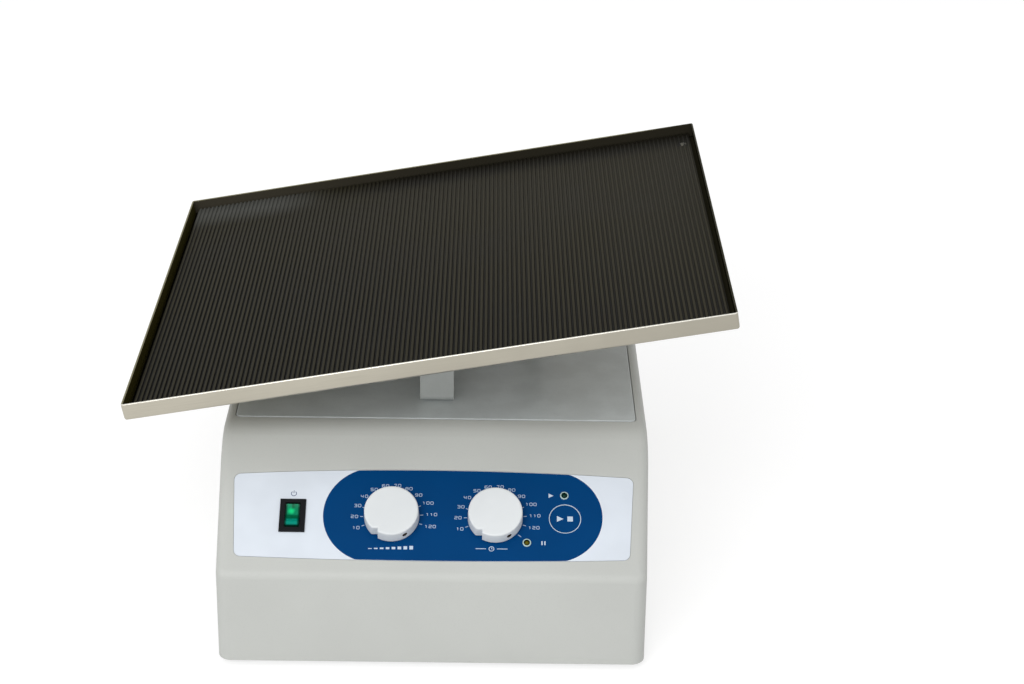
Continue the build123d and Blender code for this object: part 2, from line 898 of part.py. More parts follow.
tray_nuts = hexagon_nut(
    platform.offset(carrier_under - tray_nut_height),
    tray_stud_spots,
    tray_nut_size,
    tray_nut_height,
    tray_stud_radius,
)
save(tray_nuts, "tray_nuts")

# Clevis, wrist pin and connecting rod

clevis_under = carrier_under - clevis_base
ear_inside = rod_top_thickness / 2 + side_gap
ear_outside = ear_inside + ear_thickness

with BuildPart() as rod_clevis:
    with BuildSketch(tipped_upright(0)):
        with Locations((drive_arm, 0)):
            Circle(rod_top_radius)
        with Locations((drive_arm, clevis_under + clevis_base / 2)):
            Rectangle(clevis_length, clevis_base)
        make_hull()
    extrude(amount=ear_outside, both=True)
    with BuildSketch(tipped_upright(0)):
        with Locations((drive_arm, clevis_under)):
            Rectangle(2 * clevis_length, 2 * clevis_length, align=(Align.CENTER, Align.MAX))
    extrude(amount=ear_inside, both=True, mode=Mode.SUBTRACT)
    with BuildSketch(platform.offset(carrier_under)):
        with Locations((drive_arm, 0)):
            Rectangle(clevis_length, clevis_depth)
    extrude(amount=-clevis_base)
    with BuildSketch(tipped_upright(0)):
        with Locations((drive_arm, 0)):
            Circle(wrist_radius)
    extrude(amount=clevis_depth, both=True, mode=Mode.SUBTRACT)
    with BuildSketch(platform.offset(carrier_under)):
        with Locations(*clevis_screw_spots):
            Circle(small_screw_radius + 0.1)
    extrude(amount=-clevis_base, mode=Mode.SUBTRACT)
save(rod_clevis, "rod_clevis")

clevis_face = Plane(
    origin=platform.offset(clevis_under).origin, x_dir=platform.x_dir, z_dir=-platform.z_dir
)
clevis_screws = screws(
    clevis_face,
    clevis_screw_spots,
    small_screw_radius,
    clevis_base + carrier_sheet - 0.2,
    small_screw_head,
    small_screw_head_height,
)
save(clevis_screws, "clevis_screws")

with BuildPart() as wrist_pin:
    with BuildSketch(tipped_upright(0)):
        with Locations((drive_arm, 0)):
            Circle(wrist_radius)
    extrude(amount=ear_outside + wrist_head, both=True)
    for side in (-1, 1):
        with BuildSketch(tipped_upright(side * ear_outside)):
            with Locations((drive_arm, 0)):
                Circle(wrist_head_radius)
        extrude(amount=-side * wrist_head)
save(wrist_pin, "wrist_pin")

with BuildPart() as connecting_rod:
    with BuildSketch(Plane.XZ) as rod_outline:
        with Locations((wrist_x, wrist_z)):
            Circle(rod_top_radius)
        with Locations((wrist_x, crank_pin_z)):
            Circle(rod_bottom_radius)
        with Locations((wrist_x, (wrist_z + crank_pin_z) / 2)):
            Rectangle(rod_width, rod_length)
    extrude(amount=rod_thickness / 2, both=True)
    with BuildSketch(Plane.XZ):
        with Locations((wrist_x, wrist_z)):
            Circle(rod_top_radius)
    extrude(amount=rod_top_thickness / 2, both=True)
    with BuildSketch(Plane.XZ):
        with Locations((wrist_x, wrist_z)):
            Circle(rod_bush_radius)
        with Locations((wrist_x, crank_pin_z)):
            Circle(bearing_radius)
    extrude(amount=rod_top_thickness, both=True, mode=Mode.SUBTRACT)
save(connecting_rod, "connecting_rod")

with BuildPart() as rod_bush:
    with BuildSketch(Plane.XZ):
        with Locations((wrist_x, wrist_z)):
            Circle(rod_bush_radius)
            Circle(wrist_radius + running_gap, mode=Mode.SUBTRACT)
    extrude(amount=rod_top_thickness / 2, both=True)
save(rod_bush, "rod_bush")

with BuildPart() as rod_bearing:
    with BuildSketch(Plane.XZ):
        with Locations((wrist_x, crank_pin_z)):
            Circle(bearing_radius)
            Circle(bearing_bore, mode=Mode.SUBTRACT)
    extrude(amount=rod_thickness / 2, both=True)
    for side in (-1, 1):
        with BuildSketch(Plane.XZ.offset(-side * rod_thickness / 2)):
            with Locations((wrist_x, crank_pin_z)):
                Circle(bearing_radius - 1.6)
                Circle(bearing_bore + 1.8, mode=Mode.SUBTRACT)
        extrude(amount=side * bearing_groove, mode=Mode.SUBTRACT)
save(rod_bearing, "rod_bearing")

# Crank and its shaft

with BuildPart() as crank_disc:
    with BuildSketch(Plane.XZ.offset(-crank_disc_near)):
        with Locations((wrist_x, crank_z)):
            Circle(crank_disc_radius)
    extrude(amount=-crank_disc_thickness)
    with BuildSketch(Plane.XZ.offset(-disc_far)):
        with Locations((wrist_x, crank_z)):
            Circle(crank_hub_radius)
    extrude(amount=-crank_hub)
    with BuildSketch(Plane.XZ):
        with Locations((wrist_x, crank_z)):
            Circle(shaft_radius)
    extrude(amount=-hub_far, mode=Mode.SUBTRACT)
    with BuildSketch(Plane.XZ):
        with Locations((wrist_x, crank_pin_z)):
            Circle(crank_pin_radius)
    extrude(amount=-disc_far, mode=Mode.SUBTRACT)
    with BuildSketch(Plane.XY.offset(crank_z)):
        with Locations((wrist_x, disc_far + crank_hub / 2)):
            Circle(set_screw_radius)
    extrude(amount=-crank_hub_radius, mode=Mode.SUBTRACT)
save(crank_disc, "crank_disc")

with BuildPart() as crank_set_screw:
    with BuildSketch(Plane.XY.offset(crank_z - shaft_radius)):
        with Locations((wrist_x, disc_far + crank_hub / 2)):
            Circle(set_screw_radius)
    extrude(amount=shaft_radius - crank_hub_radius + 0.5)
save(crank_set_screw, "crank_set_screw")

with BuildPart() as crank_pin:
    with BuildSketch(Plane.XZ.offset(-rod_thickness / 2 - crank_gap)):
        with Locations((wrist_x, crank_pin_z)):
            Circle(crank_pin_radius)
    extrude(amount=rod_thickness / 2 + crank_gap - disc_far)
    with BuildSketch(Plane.XZ.offset(-crank_disc_near)):
        with Locations((wrist_x, crank_pin_z)):
            Circle(crank_collar_radius)
    extrude(amount=crank_collar)
save(crank_pin, "crank_pin")

with BuildPart() as output_shaft:
    with BuildSketch(Plane.XZ.offset(-crank_disc_near)):
        with Locations((wrist_x, crank_z)):
            Circle(shaft_radius)
    extrude(amount=crank_disc_near - gearbox_y - shaft_in_gearbox)
save(output_shaft, "output_shaft")

# Gear motor and its bracket

with BuildPart() as gearbox:
    with BuildSketch(Plane.XZ.offset(-gearbox_y)):
        with Locations((wrist_x, gearbox_z)):
            Circle(gearbox_radius)
    extrude(amount=-gearbox_length)
    with BuildSketch(Plane.XZ.offset(-gearbox_y)):
        with Locations((wrist_x, crank_z)):
            Circle(gearbox_nose_radius)
    extrude(amount=bracket_sheet)
    with BuildSketch(Plane.XZ):
        with Locations((wrist_x, crank_z)):
            Circle(shaft_radius + running_gap)
    extrude(amount=-gearbox_y - shaft_in_gearbox - 1, mode=Mode.SUBTRACT)
save(gearbox, "gearbox")

with BuildPart() as motor:
    with BuildSketch(Plane.XZ.offset(-motor_y)):
        with Locations((wrist_x, gearbox_z)):
            Circle(motor_radius)
    extrude(amount=-motor_length)
    fillet(motor.edges().group_by(Axis.Y)[-1], 2)
    with BuildSketch(Plane.XZ.offset(-motor_y - motor_length)):
        with Locations((wrist_x, gearbox_z)):
            Circle(motor_tail_radius)
    extrude(amount=-motor_tail)
    with BuildSketch(Plane.XZ.offset(-motor_y - motor_length)):
        with Locations((wrist_x, motor_terminal_z)):
            Rectangle(3 * terminal_width, 2 * terminal_width)
    extrude(amount=-terminal_length)
save(motor, "motor")

with BuildPart() as motor_bracket:
    with BuildSketch(Plane.XZ.offset(-bracket_y)):
        with Locations((wrist_x, floor_top)):
            Rectangle(bracket_width, bracket_height, align=(Align.CENTER, Align.MIN))
        with Locations((wrist_x, crank_z)):
            Circle(gearbox_nose_radius + 0.1, mode=Mode.SUBTRACT)
    extrude(amount=-bracket_sheet)
    with BuildSketch(Plane.XY.offset(floor_top)):
        with Locations((wrist_x, bracket_y)):
            Rectangle(bracket_width, bracket_foot, align=(Align.CENTER, Align.MIN))
    extrude(amount=bracket_sheet)
    for side in (-1, 1):
        with BuildSketch(Plane.YZ.offset(wrist_x + side * bracket_width / 2)):
            with BuildLine():
                Polyline(
                    (bracket_y, floor_top),
                    (bracket_y + bracket_foot, floor_top),
                    (bracket_y, floor_top + bracket_gusset),
                    close=True,
                )
            make_face()
        extrude(amount=-side * bracket_sheet)
save(motor_bracket, "motor_bracket")

# Power supply

with BuildPart() as transformer_core:
    with BuildSketch(Plane.XZ.offset(-(transformer_y - core_depth / 2))):
        with Locations((transformer_x, floor_top + core_height / 2)):
            Rectangle(core_width, core_height)
            with GridLocations(core_width / 2, 0, 2, 1):
                Rectangle(core_width / 2 - core_leg, core_window, mode=Mode.SUBTRACT)
    extrude(amount=-core_depth)
save(transformer_core, "transformer_core")

with BuildPart() as transformer_winding:
    with BuildSketch(Plane.XY.offset(floor_top + (core_height - core_window) / 2 + winding_gap)):
        with Locations((transformer_x, transformer_y)):
            Rectangle(core_width - core_leg - 2 * winding_gap, core_depth + 2 * winding_overhang)
            Rectangle(core_leg, core_depth, mode=Mode.SUBTRACT)
    extrude(amount=core_window - 2 * winding_gap)
save(transformer_winding, "transformer_winding")

with BuildPart() as power_board:
    with BuildSketch(Plane.XY.offset(power_board_bottom)):
        with Locations((power_board_x, power_board_y)):
            Rectangle(power_board_width, power_board_depth)
        with Locations(*spacer_spots):
            Circle(small_screw_radius + 0.1, mode=Mode.SUBTRACT)
    extrude(amount=board_thickness)
    with BuildSketch(Plane.XY.offset(power_board_top)):
        with Locations((supply_block_x, power_board_front), (ribbon_x, power_board_front)):
            Rectangle(2 * block_size, block_size, align=(Align.CENTER, Align.MIN))
        with Locations((power_board_right, motor_block_y)):
            Rectangle(block_size, 2 * block_size, align=(Align.MAX, Align.CENTER))
    extrude(amount=block_size)
save(power_board, "power_board")

with BuildPart() as smoothing_capacitors:
    with BuildSketch(Plane.XY.offset(power_board_top)):
        with Locations((capacitor_x, capacitor_y)):
            with GridLocations(capacitor_spacing, 0, 2, 1):
                Circle(capacitor_radius)
    extrude(amount=capacitor_height)
save(smoothing_capacitors, "smoothing_capacitors")

# Control board and what it carries

with BuildPart() as control_board:
    with BuildSketch(panel.offset(-board_depth)):
        with Locations(((board_left + board_right) / 2, (board_low + board_high) / 2)):
            Rectangle(board_right - board_left, board_high - board_low)
        with Locations(*board_boss_spots):
            Circle(small_screw_radius + 0.1, mode=Mode.SUBTRACT)
    extrude(amount=-board_thickness)
    with BuildSketch(panel.offset(-board_depth - board_thickness)):
        with Locations((ribbon_x, ribbon_plug_y)):
            Rectangle(ribbon_width + 2, ribbon_plug_depth)
    extrude(amount=-ribbon_plug_depth)
save(control_board, "control_board")

panel_back = Plane(
    origin=panel.offset(-board_depth - board_thickness).origin, x_dir=(1, 0, 0), z_dir=-panel.z_dir
)
control_screws = screws(
    panel_back,
    [(x, -y) for x, y in board_boss_spots],
    small_screw_radius,
    board_thickness + board_screw_grip,
    small_screw_head,
    small_screw_head_height,
)
power_screws = screws(
    Plane.XY.offset(power_board_top),
    spacer_spots,
    small_screw_radius,
    board_thickness + board_screw_grip,
    small_screw_head,
    small_screw_head_height,
)
with BuildPart() as board_screws:
    add(control_screws.part)
    add(power_screws.part)
save(board_screws, "board_screws")

for spot, name in zip(knob_spots, ("speed", "time")):
    with BuildPart() as pot:
        with BuildSketch(panel.offset(-case_wall)):
            with Locations(spot):
                Circle(pot_radius)
        extrude(amount=-pot_depth)
        with BuildSketch(panel.offset(-case_wall)):
            with Locations(spot):
                Circle(pot_bushing_radius)
        extrude(amount=case_wall + pot_bushing_top)
        with BuildSketch(panel.offset(pot_bushing_top)):
            with Locations(spot):
                Circle(knob_shaft_radius + running_gap)
        extrude(amount=shaft_start - side_gap - pot_bushing_top, mode=Mode.SUBTRACT)
    save(pot, f"{name}_pot")

    with BuildPart() as knob:
        with BuildSketch(panel.offset(knob_foot)):
            with Locations(spot):
                Circle(knob_radius)
        with BuildSketch(panel.offset(knob_height)):
            with Locations(spot):
                Circle(knob_top_radius)
        loft()
        with BuildSketch(panel.offset(knob_height)):
            with Locations(spot):
                with Locations((notch_x, notch_y)):
                    Rectangle(knob_radius, knob_radius, align=(Align.MAX, Align.MAX))
        extrude(amount=-knob_height, mode=Mode.SUBTRACT)
        fillet(knob.faces().sort_by(outward)[-1].outer_wire().edges(), knob_edge_radius)
        # Hollow underneath, with a wall kept round the notch
        with BuildSketch(panel.offset(knob_foot)):
            with Locations(spot):
                Circle(knob_radius - knob_skirt_wall)
                with Locations((notch_x + knob_skirt_wall, notch_y + knob_skirt_wall)):
                    Rectangle(
                        knob_radius, knob_radius, align=(Align.MAX, Align.MAX), mode=Mode.SUBTRACT
                    )
        extrude(amount=knob_hollow, mode=Mode.SUBTRACT)
        with BuildSketch(panel.offset(pot_bushing_top + knob_hub_gap)):
            with Locations(spot):
                Circle(knob_hub_radius)
        extrude(amount=knob_foot + knob_hollow - pot_bushing_top - knob_hub_gap)
        with BuildSketch(panel.offset(knob_foot)):
            with Locations(spot):
                Circle(knob_shaft_radius)
        extrude(amount=knob_bore_depth, mode=Mode.SUBTRACT)
        with BuildSketch(knob_ray(spot, set_screw_angle)):
            Circle(set_screw_radius)
        extrude(amount=knob_radius, mode=Mode.SUBTRACT)
    save(knob, f"{name}_knob")

    with BuildPart() as shaft:
        with BuildSketch(panel.offset(shaft_start)):
            with Locations(spot):
                Circle(knob_shaft_radius)
        extrude(amount=knob_foot + knob_bore_depth - shaft_start)
    save(shaft, f"{name}_shaft")

    with BuildPart() as set_screw:
        with BuildSketch(knob_ray(spot, set_screw_angle).offset(knob_shaft_radius)):
            Circle(set_screw_radius)
        extrude(amount=set_screw_length)
    save(set_screw, f"{name}_set_screw")

pot_nuts = hexagon_nut(panel, knob_spots, pot_nut_size, pot_nut_height, pot_bushing_radius)
save(pot_nuts, "pot_nuts")

for spot, name in zip(lamp_spots, ("run_led", "hold_led")):
    with BuildPart() as lamp:
        with BuildSketch(panel.offset(-board_depth)):
            with Locations(spot):
                Circle(lamp_radius)
        extrude(amount=board_depth + lamp_rise)
        fillet(lamp.edges().sort_by(outward)[-1], 0.9 * lamp_radius)
        with BuildSketch(panel.offset(-board_depth)):
            with Locations(spot):
                Circle(lamp_holder_radius)
        extrude(amount=board_depth - case_wall - side_gap)
    save(lamp, name)

with BuildPart() as led_rings:
    with BuildSketch(panel):
        with Locations(*lamp_spots):
            Circle(ring_radius)
    extrude(amount=ring_rise)
    fillet(led_rings.edges().group_by(SortBy.LENGTH)[-1].sort_by(outward)[-2:], ring_edge)
    with BuildSketch(panel):
        with Locations(*lamp_spots):
            Circle(ring_sleeve)
    extrude(amount=-case_wall)
    with BuildSketch(panel.offset(ring_rise)):
        with Locations(*lamp_spots):
            Circle(lamp_radius + lamp_gap)
    extrude(amount=-2 * case_wall, mode=Mode.SUBTRACT)
save(led_rings, "led_rings")

plunger_top = -key_stem_end - key_travel - key_rest_gap
key_switch_top = key_switch_height - board_depth

with BuildPart() as key_switch:
    with BuildSketch(panel.offset(-board_depth)):
        with Locations(key_spot):
            Rectangle(key_switch_size, key_switch_size)
    extrude(amount=key_switch_height)
    with BuildSketch(panel.offset(key_switch_top)):
        with Locations(key_spot):
            Circle(key_plunger_radius)
    extrude(amount=plunger_top - key_switch_top)
save(key_switch, "key_switch")

with BuildPart() as start_stop_key:
    with BuildSketch(panel):
        with Locations(key_spot):
            Circle(key_radius)
    extrude(amount=-key_thickness)
    with BuildSketch(panel.offset(-key_thickness)):
        with Locations(key_spot):
            Circle(key_stem_radius)
    extrude(amount=key_thickness - key_stem_end)
save(start_stop_key, "start_stop_key")

with BuildPart() as panel_label:
    with BuildSketch(panel.offset(-label_thickness)):
        add(label_outline(0))
        with Locations(*knob_spots):
            Circle(pot_bushing_radius + key_gap, mode=Mode.SUBTRACT)
        with Locations(*lamp_spots):
            Circle(ring_sleeve + 0.1, mode=Mode.SUBTRACT)
        with Locations(key_spot):
            Circle(key_radius + key_gap, mode=Mode.SUBTRACT)
        with Locations(switch_spot):
            Rectangle(switch_body_width + key_gap, switch_body_height + key_gap, mode=Mode.SUBTRACT)
    extrude(amount=label_thickness)
save(panel_label, "panel_label")

# Power switch and its rocker

rocker_angle = radians(panel_slope - rocker_tilt)
rocker_plane = Plane(
    origin=panel_point(switch_x, switch_y, rocker_axis),
    x_dir=(0, cos(rocker_angle), sin(rocker_angle)),
    z_dir=(1, 0, 0),
)
rocker_half_width = switch_opening_width / 2 - rocker_gap
rocker_top_end = sqrt(rocker_radius**2 - rocker_end_height**2)
rocker_bottom_end = sqrt(rocker_radius**2 - rocker_bottom**2)
terminal_ys = [-terminal_blade_spacing, 0, terminal_blade_spacing]

with BuildPart() as power_switch:
    with BuildSketch(panel):
        with Locations(switch_spot):
            Rectangle(bezel_width, bezel_height)
    extrude(amount=bezel_thickness)
    fillet(power_switch.faces().sort_by(outward)[-1].edges(), bezel_edge)
    with BuildSketch(panel):
        with Locations(switch_spot):
            Rectangle(switch_body_width, switch_body_height)
    extrude(amount=-switch_body_depth)
    with BuildSketch(panel.offset(bezel_thickness)):
        with Locations(switch_spot):
            Rectangle(switch_opening_width, 2 * (rocker_radius + rocker_gap))
    extrude(amount=-bezel_thickness - switch_pocket_depth, mode=Mode.SUBTRACT)
    with BuildSketch(rocker_plane):
        Circle(trunnion_radius + running_gap)
    extrude(
        amount=rocker_half_width + trunnion_length + rocker_gap, both=True, mode=Mode.SUBTRACT
    )
    with BuildSketch(panel.offset(-switch_body_depth)):
        with Locations(*[(switch_x, switch_y + y) for y in terminal_ys]):
            Rectangle(terminal_blade, terminal_blade_thickness)
    extrude(amount=-terminal_blade_length)
save(power_switch, "power_switch")

with BuildPart() as power_rocker:
    with BuildSketch(rocker_plane):
        with BuildLine():
            ThreePointArc(
                (-rocker_top_end, rocker_end_height),
                (0, rocker_valley_height),
                (rocker_top_end, rocker_end_height),
            )
            ThreePointArc(
                (rocker_top_end, rocker_end_height), (rocker_radius, 0), (rocker_bottom_end, -rocker_bottom)
            )
            Line((rocker_bottom_end, -rocker_bottom), (-rocker_bottom_end, -rocker_bottom))
            ThreePointArc(
                (-rocker_bottom_end, -rocker_bottom), (-rocker_radius, 0), (-rocker_top_end, rocker_end_height)
            )
        make_face()
    extrude(amount=rocker_half_width, both=True)
    with BuildSketch(rocker_plane):
        Circle(trunnion_radius)
    extrude(amount=rocker_half_width + trunnion_length, both=True)
save(power_rocker, "power_rocker")

# Mains inlet

cavity_floor = flange_thickness - socket_depth
pin_spots = [(-pin_spacing, -pin_offset), (0, pin_offset), (pin_spacing, -pin_offset)]

with BuildPart() as inlet_socket:
    with BuildSketch(inlet_face):
        RectangleRounded(flange_width, flange_height, flange_corner)
        with Locations(*inlet_screw_spots):
            Circle(small_screw_radius + 0.1, mode=Mode.SUBTRACT)
    extrude(amount=flange_thickness)
    with BuildSketch(inlet_face):
        Rectangle(socket_width + 2 * socket_wall, socket_height + 2 * socket_wall)
    extrude(amount=cavity_floor - socket_wall)
    with BuildSketch(inlet_face.offset(flange_thickness)) as mouth:
        Rectangle(socket_width, socket_height)
        chamfer(mouth.vertices().group_by(Axis.Y)[-1], socket_corner)
    extrude(amount=-socket_depth, mode=Mode.SUBTRACT)
    with BuildSketch(inlet_face.offset(cavity_floor)):
        with Locations(*pin_spots):
            Rectangle(pin_thickness, pin_width)
    extrude(amount=-socket_wall, mode=Mode.SUBTRACT)
save(inlet_socket, "inlet_socket")

with BuildPart() as inlet_pins:
    with BuildSketch(inlet_face.offset(cavity_floor + pin_length)):
        with Locations(*pin_spots):
            Rectangle(pin_thickness, pin_width)
    extrude(amount=-pin_length - socket_wall - pin_tail)
save(inlet_pins, "inlet_pins")

inlet_screws = screws(
    inlet_face.offset(flange_thickness),
    inlet_screw_spots,
    small_screw_radius,
    inlet_screw_grip,
    small_screw_head,
    small_screw_head_height,
)
save(inlet_screws, "inlet_screws")

# Leads

tail_end = inlet_face.offset(cavity_floor - socket_wall - pin_tail)
tail_point = tuple(tail_end.from_local_coords((pin_spacing, -pin_offset, 0)))
blade_end = -switch_body_depth - terminal_blade_length
low_blade = switch_y - terminal_blade_spacing
high_blade = switch_y + terminal_blade_spacing
inlet_to_switch = [
    tail_point,
    (tail_point[0], tail_point[1] - 9, lead_lane_z),
    (lead_lane_x, transformer_y + 13, lead_lane_z),
    (lead_lane_x, case_front + 69, lead_lane_z),
    panel_point(switch_x, low_blade, blade_end - lead_start),
    panel_point(switch_x, low_blade, blade_end),
]
switch_to_board = [
    panel_point(switch_x, high_blade, blade_end),
    panel_point(switch_x, high_blade, blade_end - lead_start),
    (supply_block_x, power_board_front - 30, block_z),
    (supply_block_x, power_board_front, block_z),
]
with BuildPart() as mains_leads:
    for run in (inlet_to_switch, switch_to_board):
        with BuildSketch(path_start(run)):
            Circle(lead_radius)
        sweep(path=lead_path(run))
save(mains_leads, "mains_leads")

board_to_motor = [
    (power_board_right, motor_block_y, block_z),
    (power_board_right + 22, motor_block_y, block_z),
    (power_board_right + 24, transformer_y, block_z),
    (wrist_x - 35, motor_y + motor_length + 18, block_z),
    (wrist_x, motor_y + motor_length + 18, motor_terminal_z),
    (wrist_x, motor_y + motor_length + terminal_length, motor_terminal_z),
]
with BuildPart() as motor_lead:
    with BuildSketch(path_start(board_to_motor)):
        Circle(lead_radius)
    sweep(path=lead_path(board_to_motor))
save(motor_lead, "motor_lead")

plug_end = -board_depth - board_thickness - ribbon_plug_depth
ribbon_run = [
    panel_point(ribbon_x, ribbon_plug_y, plug_end),
    panel_point(ribbon_x, ribbon_plug_y, plug_end - lead_start),
    (ribbon_x, power_board_front - 30, block_z),
    (ribbon_x, power_board_front, block_z),
]
with BuildPart() as panel_ribbon:
    with BuildSketch(path_start(ribbon_run)):
        Rectangle(ribbon_width, ribbon_thickness)
    sweep(path=lead_path(ribbon_run))
save(panel_ribbon, "panel_ribbon")
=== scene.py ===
from math import cos, pi, radians, sin

import bmesh
import bpy
import numpy as np
from mathutils import Matrix, Vector


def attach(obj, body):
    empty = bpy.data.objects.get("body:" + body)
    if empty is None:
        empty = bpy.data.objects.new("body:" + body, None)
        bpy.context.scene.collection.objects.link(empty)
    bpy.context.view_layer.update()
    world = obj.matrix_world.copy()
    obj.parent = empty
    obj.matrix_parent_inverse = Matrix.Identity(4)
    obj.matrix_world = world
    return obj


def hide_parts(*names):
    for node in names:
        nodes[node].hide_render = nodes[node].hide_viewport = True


# Dressing for the bench rocker. Lengths are millimetres on the piece; meshes are written in metres.

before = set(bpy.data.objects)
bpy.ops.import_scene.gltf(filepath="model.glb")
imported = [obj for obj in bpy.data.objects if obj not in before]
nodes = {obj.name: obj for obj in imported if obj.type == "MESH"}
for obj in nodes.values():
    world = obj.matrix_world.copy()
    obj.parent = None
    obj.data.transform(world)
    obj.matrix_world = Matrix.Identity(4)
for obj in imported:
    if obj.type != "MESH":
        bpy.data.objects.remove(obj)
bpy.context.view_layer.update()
scene = bpy.context.scene

MM = 0.001
TILT = radians(10.35)           # tipped tray
SLOPE = radians(32.0)           # sloping panel
PIVOT_HEIGHT = 154.5
LABEL_RISE = 40.5               # middle of the label up the slope from the fold
FOLD = (-199.0, 62.0)           # y and z of the fold under the panel

TRAY_LENGTH, TRAY_DEPTH = 356.0, 305.0
TRAY_SHEET, TRAY_CORNER = 1.2, 1.6      # thickness of the sheet, radius of its upright corners
TRAY_UNDER, TRAY_RIM = 14.2, 24.7       # heights above the pivots, as are the mat's
MAT_TOP, MAT_UNDER = 19.4, 15.4
RIB_PITCH, RIB_COUNT, RIB_DEPTH = 2.9, 120, 0.8
MAT_DEPTH = 298.6
MAT_SCREW = (168.5, 130.0)
# One rib: distance across from where its pitch starts, and height from the mat's top
RIB_SECTION = np.array([
    (0.0, -0.80), (0.42, -0.78), (0.60, -0.5), (0.68, -0.16), (0.86, 0.0),
    (1.45, 0.0), (2.04, 0.0), (2.22, -0.16), (2.30, -0.5), (2.48, -0.78),
])
# The mat's ends: distance from the end, and how far the top has dropped there
MAT_END = np.array([(0.0, 0.25), (0.3, 0.03), (2.0, 0.0)])

STUDS = [(x, y) for x in (-58.0, 58.0) for y in (-60.0, 60.0)]
STUD_RADIUS, STUD_LENGTH, THREAD_PITCH = 2.0, 7.5, 0.7
FEET = [(x, y) for x in (-98.0, 98.0) for y in (-168.0, 100.0)]
FOOT_HEIGHT, FOOT_WELL = 4.8, 3.4       # top of a foot, and where the head of its screw sits
CASE_SCREWS = [(side * x, y) for side in (-1, 1) for x, y in ((117.5, -191.5), (120.5, 123.0))]
POST_SCREWS = [(x, y, 119.5) for x in (-5.5, 5.5) for y in (-70.1, 70.1)]

# Spots on the panel, from the middle of the label
KNOBS = {"speed": (-24.0, -1.6), "time": (36.2, -1.6)}
SWITCH = (-81.7, -1.5)
KEY = (76.8, -1.4)
KEY_RADIUS, KEY_GAP = 8.75, 0.2
LAMPS = {"run": (76.5, 13.6), "hold": (54.6, -17.2)}


def placing(origin, x_axis, y_axis):
    """Matrix from a piece's own millimetres to the bench's metres."""
    x, y = Vector(x_axis).normalized(), Vector(y_axis).normalized()
    turn = Matrix((x, y, x.cross(y))).transposed().to_4x4()
    return Matrix.Translation(Vector(origin) * MM) @ turn @ Matrix.Scale(MM, 4)


BENCH = placing((0, 0, 0), (1, 0, 0), (0, 1, 0))
BELOW = placing((0, 0, 0), (1, 0, 0), (0, -1, 0))
TRAY = placing((0, 0, PIVOT_HEIGHT), (cos(TILT), 0, sin(TILT)), (0, 1, 0))
UNDER_TRAY = placing((0, 0, PIVOT_HEIGHT), (cos(TILT), 0, sin(TILT)), (0, -1, 0))
INLET = placing((-64.0, 129.8, 38.0), (-1, 0, 0), (0, 0, 1))
PANEL = placing(
    (0, FOLD[0] + LABEL_RISE * cos(SLOPE), FOLD[1] + LABEL_RISE * sin(SLOPE)),
    (1, 0, 0),
    (0, cos(SLOPE), sin(SLOPE)),
)

# Shader wiring


class Wire:
    """A shader socket. An expression on wires adds the Math nodes that work it out."""

    def __init__(self, graph, socket):
        self.graph, self.socket = graph, socket

    def maths(self, operation, *values):
        """One Math node, in the order that its operation takes the values."""
        return self.graph.node("ShaderNodeMath", {"operation": operation}, dict(enumerate(values)))

    def larger(self, other):
        return self.maths("MAXIMUM", self, other)

    def smaller(self, other):
        return self.maths("MINIMUM", self, other)

    def __add__(self, other):
        return self.maths("ADD", self, other)

    def __sub__(self, other):
        return self.maths("SUBTRACT", self, other)

    def __rsub__(self, other):
        return self.maths("SUBTRACT", other, self)

    def __mul__(self, other):
        return self.maths("MULTIPLY", self, other)

    def __truediv__(self, other):
        return self.maths("DIVIDE", self, other)

    def __lt__(self, other):
        return self.maths("LESS_THAN", self, other)

    def __gt__(self, other):
        return self.maths("GREATER_THAN", self, other)

    def __abs__(self):
        return self.maths("ABSOLUTE", self)

    def sine(self):
        return self.maths("SINE", self)

    __radd__ = __add__
    __rmul__ = __mul__


class Graph:
    """The nodes of a material or of the world."""

    def __init__(self, tree):
        self.tree = tree

    def node(self, kind, settings, sockets, output=0):
        """Adds one node: its settings first, then what its sockets hold or take."""
        made = self.tree.nodes.new(kind)
        for key, value in settings.items():
            setattr(made, key, value)
        for key, value in sockets.items():
            self.connect(value, made.inputs[key])
        return made if output is None else Wire(self, made.outputs[output])

    def connect(self, value, socket):
        """Links a wire to a socket, or sets the socket to a value."""
        if isinstance(value, Wire):
            self.tree.links.new(value.socket, socket)
        else:
            socket.default_value = value

    def looked_at(self):
        """1 for rays from the camera, off gloss or through glass; 0 for the rays that only light."""
        camera, gloss, glass = (
            self.node("ShaderNodeLightPath", {}, {}, f"Is {ray} Ray")
            for ray in ("Camera", "Glossy", "Transmission")
        )
        return camera.larger(gloss).larger(glass)


